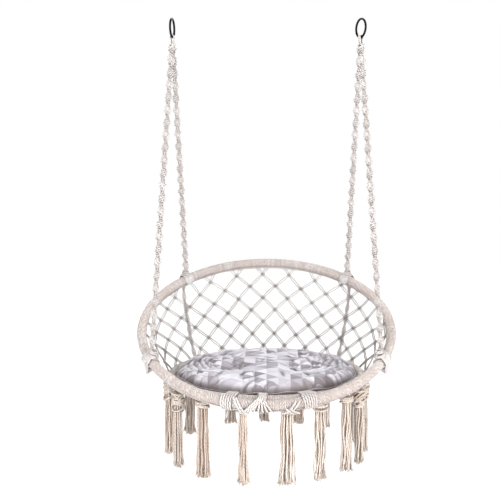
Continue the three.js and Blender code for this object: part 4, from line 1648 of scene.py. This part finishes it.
def swell(body):
    """Cloth with inner pressure, the tufts held, and no point moved past the cap."""
    before = coordinates(body.data)
    group = body.vertex_groups.new(name="held")
    for centre in tuft_centres():
        near = np.linalg.norm(before[:, :2] - centre, axis=1) < tuft_hold
        group.add([int(i) for i in np.flatnonzero(near)], 1.0, "REPLACE")
    cloth = body.modifiers.new("cloth", "CLOTH")
    cloth.settings.use_pressure = True
    cloth.settings.uniform_pressure_force = cushion_pressure
    cloth.settings.vertex_group_mass = "held"
    cloth.settings.effector_weights.gravity = 0
    cloth.point_cache.frame_start = 1
    cloth.point_cache.frame_end = cushion_frames
    for step in range(1, cushion_frames + 1):
        scene.frame_set(step)
    after = coordinates(evaluated_mesh(body))
    scene.frame_set(1)
    body.modifiers.clear()
    move = after - before
    size = np.linalg.norm(move, axis=1, keepdims=True)
    move *= swell_cap * np.tanh(size / swell_cap) / np.maximum(size, 1e-9)
    set_coordinates(body.data, before + move)
    print(f"Cloth moved up to {size.max() * 1000:.1f} mm, kept within {swell_cap * 1000:.0f} mm")


# %% Lumps, creases and gathers
profile_steps = 40
cushion_lean = 7 * mm
cushion_edge = 13 * mm
cushion_crown = 51 * mm
crown_power = 4.0
crown_fullness = 0.42
band_half_share = 0.04
top_depth = 8 * mm
lump_depth = 3.5 * mm
lump_size = 75 * mm
crease_reach = 72 * mm
crease_depth = 6.5 * mm
crease_count = 7
crease_bend = 1.2
crease_share = 0.4
gather_depth = 3.0 * mm
gather_patch = 60 * mm
gather_count = 58
gather_reach = 62 * mm
gather_wander = 8
gather_shares = (0.55, 1.6)
gather_least_share = 0.1
gather_lift_share = 0.7
fold_depth = 5.5 * mm
fold_width = 5.5 * mm
ripple_start = 130 * mm
ripple_pitch = 19 * mm
ripple_wander = 16 * mm
ripple_depth = 2.7 * mm
wrinkle_size = 55 * mm
wrinkle_depth = 3.2 * mm
wrinkle_sharpness = 14
wrinkle_shares = (0.5, 3)
gather_power = 1.5
wander_size = 71 * mm
fold_lines = (
    ((0.075, 0.05), (0.082, -0.09)),
    ((0.112, 0.045), (0.14, -0.085)),
    ((-0.135, 0.09), (-0.075, 0.02)),
    ((-0.15, 0.1), (-0.19, -0.09)),
    ((-0.19, 0.09), (-0.225, -0.06)),
    ((-0.222, 0.07), (-0.25, -0.03)),
    ((-0.12, -0.13), (-0.15, -0.2)),
    ((-0.06, -0.16), (-0.075, -0.22)),
    ((0.2, 0.1), (0.225, -0.06)),
    ((0.228, 0.07), (0.252, -0.03)),
    ((0.04, -0.15), (0.05, -0.22)),
    ((0.1, -0.14), (0.125, -0.21)),
)


def beside_line(flat, start, end):
    """How far each point lies from a line, and how far along it as a share."""
    run = np.array(end) - np.array(start)
    share = np.clip(((flat - start) @ run) / (run @ run), 0, 1)
    return np.linalg.norm(flat - start - share[:, None] * run, axis=1), share


def bell(distance, width):
    return np.exp(-((distance / width) ** 2))


def round_over(places, distance):
    """Brings the seam down to the hoop and makes the top a fuller dome."""
    share = np.clip(distance / distance.max(), 0, 1)
    widest = places[distance.argmax(), 2]
    top = places[:, 2] > widest
    steps = np.linspace(0, 1, profile_steps)
    old = [np.median(places[top & (abs(share - step) < band_half_share), 2]) for step in steps]
    dome = (1 - share**crown_power) ** crown_fullness
    new = seat.centre.z + cushion_edge + (cushion_crown - cushion_edge) * dome
    change = new - np.interp(share, steps, old)
    drop = (seat.centre.z + cushion_edge - widest) * share**2
    places[:, 2] += np.where(top, change, drop)


def noise_at(places, size):
    """Soft noise at each point, one wave in about twice the size."""
    return np.array([mathutils.noise.noise(Vector(p) / size) for p in places])


def shape_cover(body):
    """Moves the cover's points, and keeps how deep each crease is for the shade painted there."""
    places, flat, distance = from_middle(body.data)
    flat *= cushion_radius / distance.max()
    places[:, :2] = flat + np.array(seat.centre)[:2]
    distance = np.linalg.norm(flat, axis=1)
    direction = np.arctan2(flat[:, 0], -flat[:, 1])
    round_over(places, distance)
    top = np.clip((places[:, 2] - seat.centre.z - cushion_edge) / top_depth, 0, 1)
    lumps = lump_depth * noise_at(places, lump_size)
    places[:, 2] += top * (lumps - cushion_lean * flat[:, 1] / cushion_radius)
    dent = np.zeros(len(places))
    for number, centre in enumerate(tuft_centres()):
        away = places[:, :2] - centre
        reach = np.linalg.norm(away, axis=1)
        angle = np.arctan2(away[:, 1], away[:, 0])
        fade = np.clip(reach / tuft_hold, 0, 1) * np.clip(1 - reach / crease_reach, 0, 1)
        bend = crease_bend * np.sin(2 * angle + number)
        wave = np.cos(crease_count * angle + 2 * number + bend)
        sink = fade * (np.clip(crease_share - wave, 0, None) / (1 + crease_share)) ** 2
        places[:, 2] -= top * crease_depth * sink
        dent += sink + bell(reach, tuft_hold)
    for start, end in fold_lines:
        side, share = beside_line(flat, start, end)
        sink = bell(side, fold_width) * np.sin(math.pi * share)
        places[:, 2] -= top * fold_depth * sink
        dent += sink
    wander = noise_at(places * (1, 1, 0), wander_size)
    edge = np.clip((distance - cushion_radius + gather_reach) / gather_reach, 0, 1) ** gather_power
    gather = np.sin(gather_count * direction + gather_wander * wander)
    patch = gather_shares[0] + gather_shares[1] * noise_at(places, gather_patch)
    gather *= np.clip(patch, gather_least_share, 1)
    outward = flat / np.maximum(distance, 1e-6)[:, None]
    places[:, :2] += outward * (edge * gather_depth * (gather - 1) * 0.5)[:, None]
    places[:, 2] += top * edge * gather_depth * gather_lift_share * gather
    dent += edge * np.clip(-gather, 0, 1)
    sideways = outward[:, 0] ** 2
    run = np.clip((distance - ripple_start) / (cushion_radius - ripple_start), 0, 1)
    ripple = np.sin(full_turn * (distance + ripple_wander * wander) / ripple_pitch)
    ripple *= np.sin(math.pi * run) * sideways
    places[:, 2] += top * ripple_depth * ripple
    dent += np.clip(-ripple, 0, 1)
    ridge = (1 - abs(noise_at(places, wrinkle_size))) ** wrinkle_sharpness
    patch = wrinkle_shares[0] + wrinkle_shares[1] * noise_at(places, lump_size)
    ridge *= np.clip(patch, 0, 1)
    places[:, 2] -= top * wrinkle_depth * ridge
    dent += ridge
    set_coordinates(body.data, places)
    crease = body.data.attributes.new("crease", "FLOAT", "POINT")
    crease.data.foreach_set("value", np.clip(dent, 0, 1))


# %% Print map


def map_print(mesh):
    """A flat map of the cover, measured along the surface from its middle."""
    places, flat, distance = from_middle(mesh)
    top = places[:, 2] > places[distance.argmax(), 2]
    steps = np.linspace(0, distance.max(), profile_steps)
    heights = []
    for step in steps:
        near = abs(distance - step) < 2 * cushion_voxel
        heights.append(np.median(places[top & near, 2]))
    along = np.concatenate([[0], np.cumsum(np.hypot(np.diff(steps), np.diff(heights)))])
    run = np.interp(distance, steps, along)
    run = np.where(top, run, 2 * along[-1] - run)
    cloth = flat / np.maximum(distance, 1e-6)[:, None] * run[:, None]
    layer = mesh.uv_layers.new(name="print")
    corners = np.empty(len(mesh.loops), int)
    mesh.loops.foreach_get("vertex_index", corners)
    layer.data.foreach_set("uv", cloth[corners].ravel())
    print(f"Cover measures {along[-1]:.3f} m from its middle to its seam")


# %% Cushion fabric
print_width = 34 * mm
print_height = 40 * mm
print_chance_share = 0.8
print_side_share = 0.22
print_pale_span = (0.1, 0.75)
print_dark_span = (0.62, 1.0)
print_tones = (srgb(234, 232, 240), srgb(190, 185, 194), srgb(128, 121, 125))
half_number = 60.5
weave_scale = 1100.0
weave_bump = 0.25 * mm
weave_speckle = (0.35, 0.65, 0.14, 0.0)
weave_tone = srgb(140, 134, 142)
cloth_roughness = 0.9
cloth_sheen = 0.2
cloth_shine = 0.2
painted_crease_shade = (0.15, 0.9, 0.0, 0.72)
crease_shade_tone = srgb(100, 91, 95)
painted_wall_shade = (0.25, 0.97, 0.66, 0.0)
front_shares = (-0.7, 0.05, 1.0, 0.4)
wall_shade_tone = srgb(132, 121, 120)
low_start = 4 * mm
low_end = cushion_edge + 20 * mm
low_shadow_share = 0.85
low_shadow_tone = srgb(62, 53, 51)
cushion_gap_reach = 45 * mm
cushion_gap_open_share = 0.85
cushion_gap_closed_share = 0.1
cushion_gap_shade_share = 0.75
cushion_gap_shade_tone = srgb(96, 86, 86)


def printed_tone(tree):
    """The print: triangles in columns, each with its own tone by chance."""
    place = separated(tree, node(tree, "ShaderNodeUVMap", uv_map="print").outputs[0])
    across = calculate(tree, "DIVIDE", place[0], print_width)
    column = calculate(tree, "FLOOR", across)
    odd = calculate(tree, "FLOORED_MODULO", column, 2.0)
    up_cloth = calculate(tree, "DIVIDE", place[1], print_height)
    rise = calculate(tree, "MULTIPLY_ADD", odd, 0.5, up_cloth)
    row = calculate(tree, "FLOOR", rise)
    off_middle = calculate(tree, "ABSOLUTE", minus(tree, minus(tree, rise, row), 0.5))
    rest = minus(tree, plus(tree, column, 1.0), across)
    faces_right = calculate(tree, "LESS_THAN", times(tree, off_middle, 2.0), rest)
    other_row = plus(tree, calculate(tree, "FLOOR", plus(tree, rise, 0.5)), half_number)
    number = node(tree, "ShaderNodeMix", {0: faces_right, 2: other_row, 3: row}).outputs[0]
    spot = combined(tree, plus(tree, column, 0.5), number, faces_right)
    tone = node(tree, "ShaderNodeTexWhiteNoise", {"Vector": spot}).outputs["Value"]
    chance = times(tree, tone, print_chance_share)
    leaning = calculate(tree, "MULTIPLY_ADD", faces_right, print_side_share, chance)
    pale, middle, dark = print_tones
    colour = mixed(tree, ranged(tree, leaning, *print_pale_span), pale, middle)
    return mixed(tree, ranged(tree, leaning, *print_dark_span), colour, dark)


def cushion_fabric():
    """The printed cloth, with shade painted in creases, on walls that face the front, low down and in
    gaps.
    """
    looks = {"Sheen_Weight": cloth_sheen, "Specular_IOR_Level": cloth_shine}
    material, tree, shader = new_material("cushion cotton", cloth_roughness, **looks)
    weave = noise(tree, object_place(tree), weave_scale, 3.0)
    facing = separated(tree, node(tree, "ShaderNodeNewGeometry").outputs["Normal"])
    # Painted shade: walls that face the front are darker, the ends less so.
    frontal = ranged(tree, facing[1], *front_shares)
    wall_shade = times(tree, ranged(tree, facing[2], *painted_wall_shade), frontal)
    # Painted shadow: the cloth is darker low down under the hoop's edge, most at the front.
    heights = [seat.centre.z + rise for rise in (low_start, low_end)]
    low = ranged(tree, separated(tree, object_place(tree))[2], *heights, low_shadow_share, 0.0)
    # Painted shade where other surfaces stand close.
    shares = (cushion_gap_open_share, cushion_gap_closed_share)
    gap = times(tree, gap_shade(tree, cushion_gap_reach, *shares), cushion_gap_shade_share)
    cloth = printed_tone(tree)
    # The creases get painted shade; the weave speckle is the cloth's own tone.
    for share, tone in (
        (ranged(tree, weave, *weave_speckle), weave_tone),
        (ranged(tree, attribute(tree, "crease")["Fac"], *painted_crease_shade), crease_shade_tone),
        (wall_shade, wall_shade_tone),
        (times(tree, low, frontal), low_shadow_tone),
        (gap, cushion_gap_shade_tone),
    ):
        cloth = mixed(tree, share, cloth, tone)
    coloured(tree, shader, cloth)
    bumped(tree, shader, weave, weave_bump)
    return material


cushion_cotton = cushion_fabric()

# %% The finished cushion
seam_radius = 1.9 * mm
seam_points = 90


def seam_line(mesh):
    """The cover's widest line, where its top and bottom are sewn together."""
    places, flat, distance = from_middle(mesh)
    direction = np.arctan2(flat[:, 0], -flat[:, 1]) % full_turn
    number = (direction / full_turn * seam_points).astype(int)
    line = []
    for i in range(seam_points):
        inside = np.flatnonzero(number == i)
        widest = inside[distance[inside].argmax()]
        line.append(Vector(places[widest]))
    count = len(line)
    return [(line[i - 1] + line[i] * 2 + line[(i + 1) % count]) / 4 for i in range(count)]


def cushion():
    body = cushion_body()
    swell(body)
    smooth = body.modifiers.new("subdivision", "SUBSURF")
    smooth.levels = 1
    smooth.render_levels = 1
    settle(body)
    shape_cover(body)
    body.data.shade_smooth()
    map_print(body.data)
    body.data.materials.clear()
    body.data.materials.append(cushion_cotton)
    seam = Cords()
    seam.add(seam_line(body.data), closed=True)
    body = joined(body, seam.sweep("cushion_seam", seam_radius, cushion_cotton, sides=8, steps=2))
    dressed(body, "cushion", "cushion", "cushion")
    print(f"Cushion: {len(body.data.polygons)} faces")


cushion()

# %% [markdown]
# ## The floor, the light and the background
# The floor is plain and pale. Where the camera or a reflection sees the world, it is pure
# white. Where it only lights the chair, it is a soft and even grey, with four lamps for shape.

# %% World
ambient = 0.56
world = bpy.data.worlds.new("studio")
scene.world = world
world.use_nodes = True
sky = world.node_tree
sky.nodes.clear()
light_path = node(sky, "ShaderNodeLightPath").outputs
seen = calculate(sky, "MAXIMUM", light_path["Is Camera Ray"], light_path["Is Glossy Ray"])
seen = calculate(sky, "MAXIMUM", seen, light_path["Is Transmission Ray"])
strength = ranged(sky, seen, 0.0, 1.0, ambient, 1.0)
background = node(sky, "ShaderNodeBackground", {"Color": (1, 1, 1, 1), "Strength": strength})
node(sky, "ShaderNodeOutputWorld", {"Surface": background.outputs[0]})

# %% Lamps
target = Vector((0, 0, -0.95))
lamps = {
    "key_lamp": ((-1.3, -3.0, 0.7), 1.1, 56),
    "fill_lamp": ((2.2, -2.6, -0.1), 1.6, 64),
    "top_lamp": ((0.2, 0.9, 1.3), 1.6, 18),
    "low_lamp": ((-0.3, -2.6, -1.45), 1.2, 18),
}

for name, (place, size, power) in lamps.items():
    data = bpy.data.lights.new(name, "AREA")
    data.shape = "DISK"
    data.size = size
    data.energy = power
    made = bpy.data.objects.new(name, data)
    made.location = place
    made.rotation_euler = (target - Vector(place)).to_track_quat("-Z", "Y").to_euler()
    scene.collection.objects.link(made)

# %% Floor
floor_height = -1.78
floor_half_side = 9.0
floor_lift = 0.6
floor_roughness = 0.9
grain_scale = 6.0


def floor_material():
    material, tree, shader = new_material("pale floor", floor_roughness)
    grain = noise(tree, object_place(tree), grain_scale, 3.0)
    coloured(tree, shader, mixed(tree, grain, srgb(243, 243, 243), srgb(248, 248, 248)))
    shader.inputs["Emission Color"].default_value = (1, 1, 1, 1)
    path = node(tree, "ShaderNodeLightPath").outputs
    seen_share = calculate(tree, "MAXIMUM", path["Is Camera Ray"], path["Is Glossy Ray"])
    lift = times(tree, seen_share, floor_lift)
    tree.links.new(lift, shader.inputs["Emission Strength"])
    return material


floor_mesh = bpy.data.meshes.new("floor")
corners = [(-1, -1), (1, -1), (1, 1), (-1, 1)]
floor_points = [(x * floor_half_side, y * floor_half_side, floor_height) for x, y in corners]
floor_mesh.from_pydata(floor_points, [], [(0, 1, 2, 3)])
floor = bpy.data.objects.new("floor", floor_mesh)
floor_mesh.materials.append(floor_material())
scene.collection.objects.link(floor)
floor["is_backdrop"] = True

# %% The visual box
visual_box = [list(corner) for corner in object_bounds()]
print("Visual box, m:", [[round(x, 3) for x in corner] for corner in visual_box])
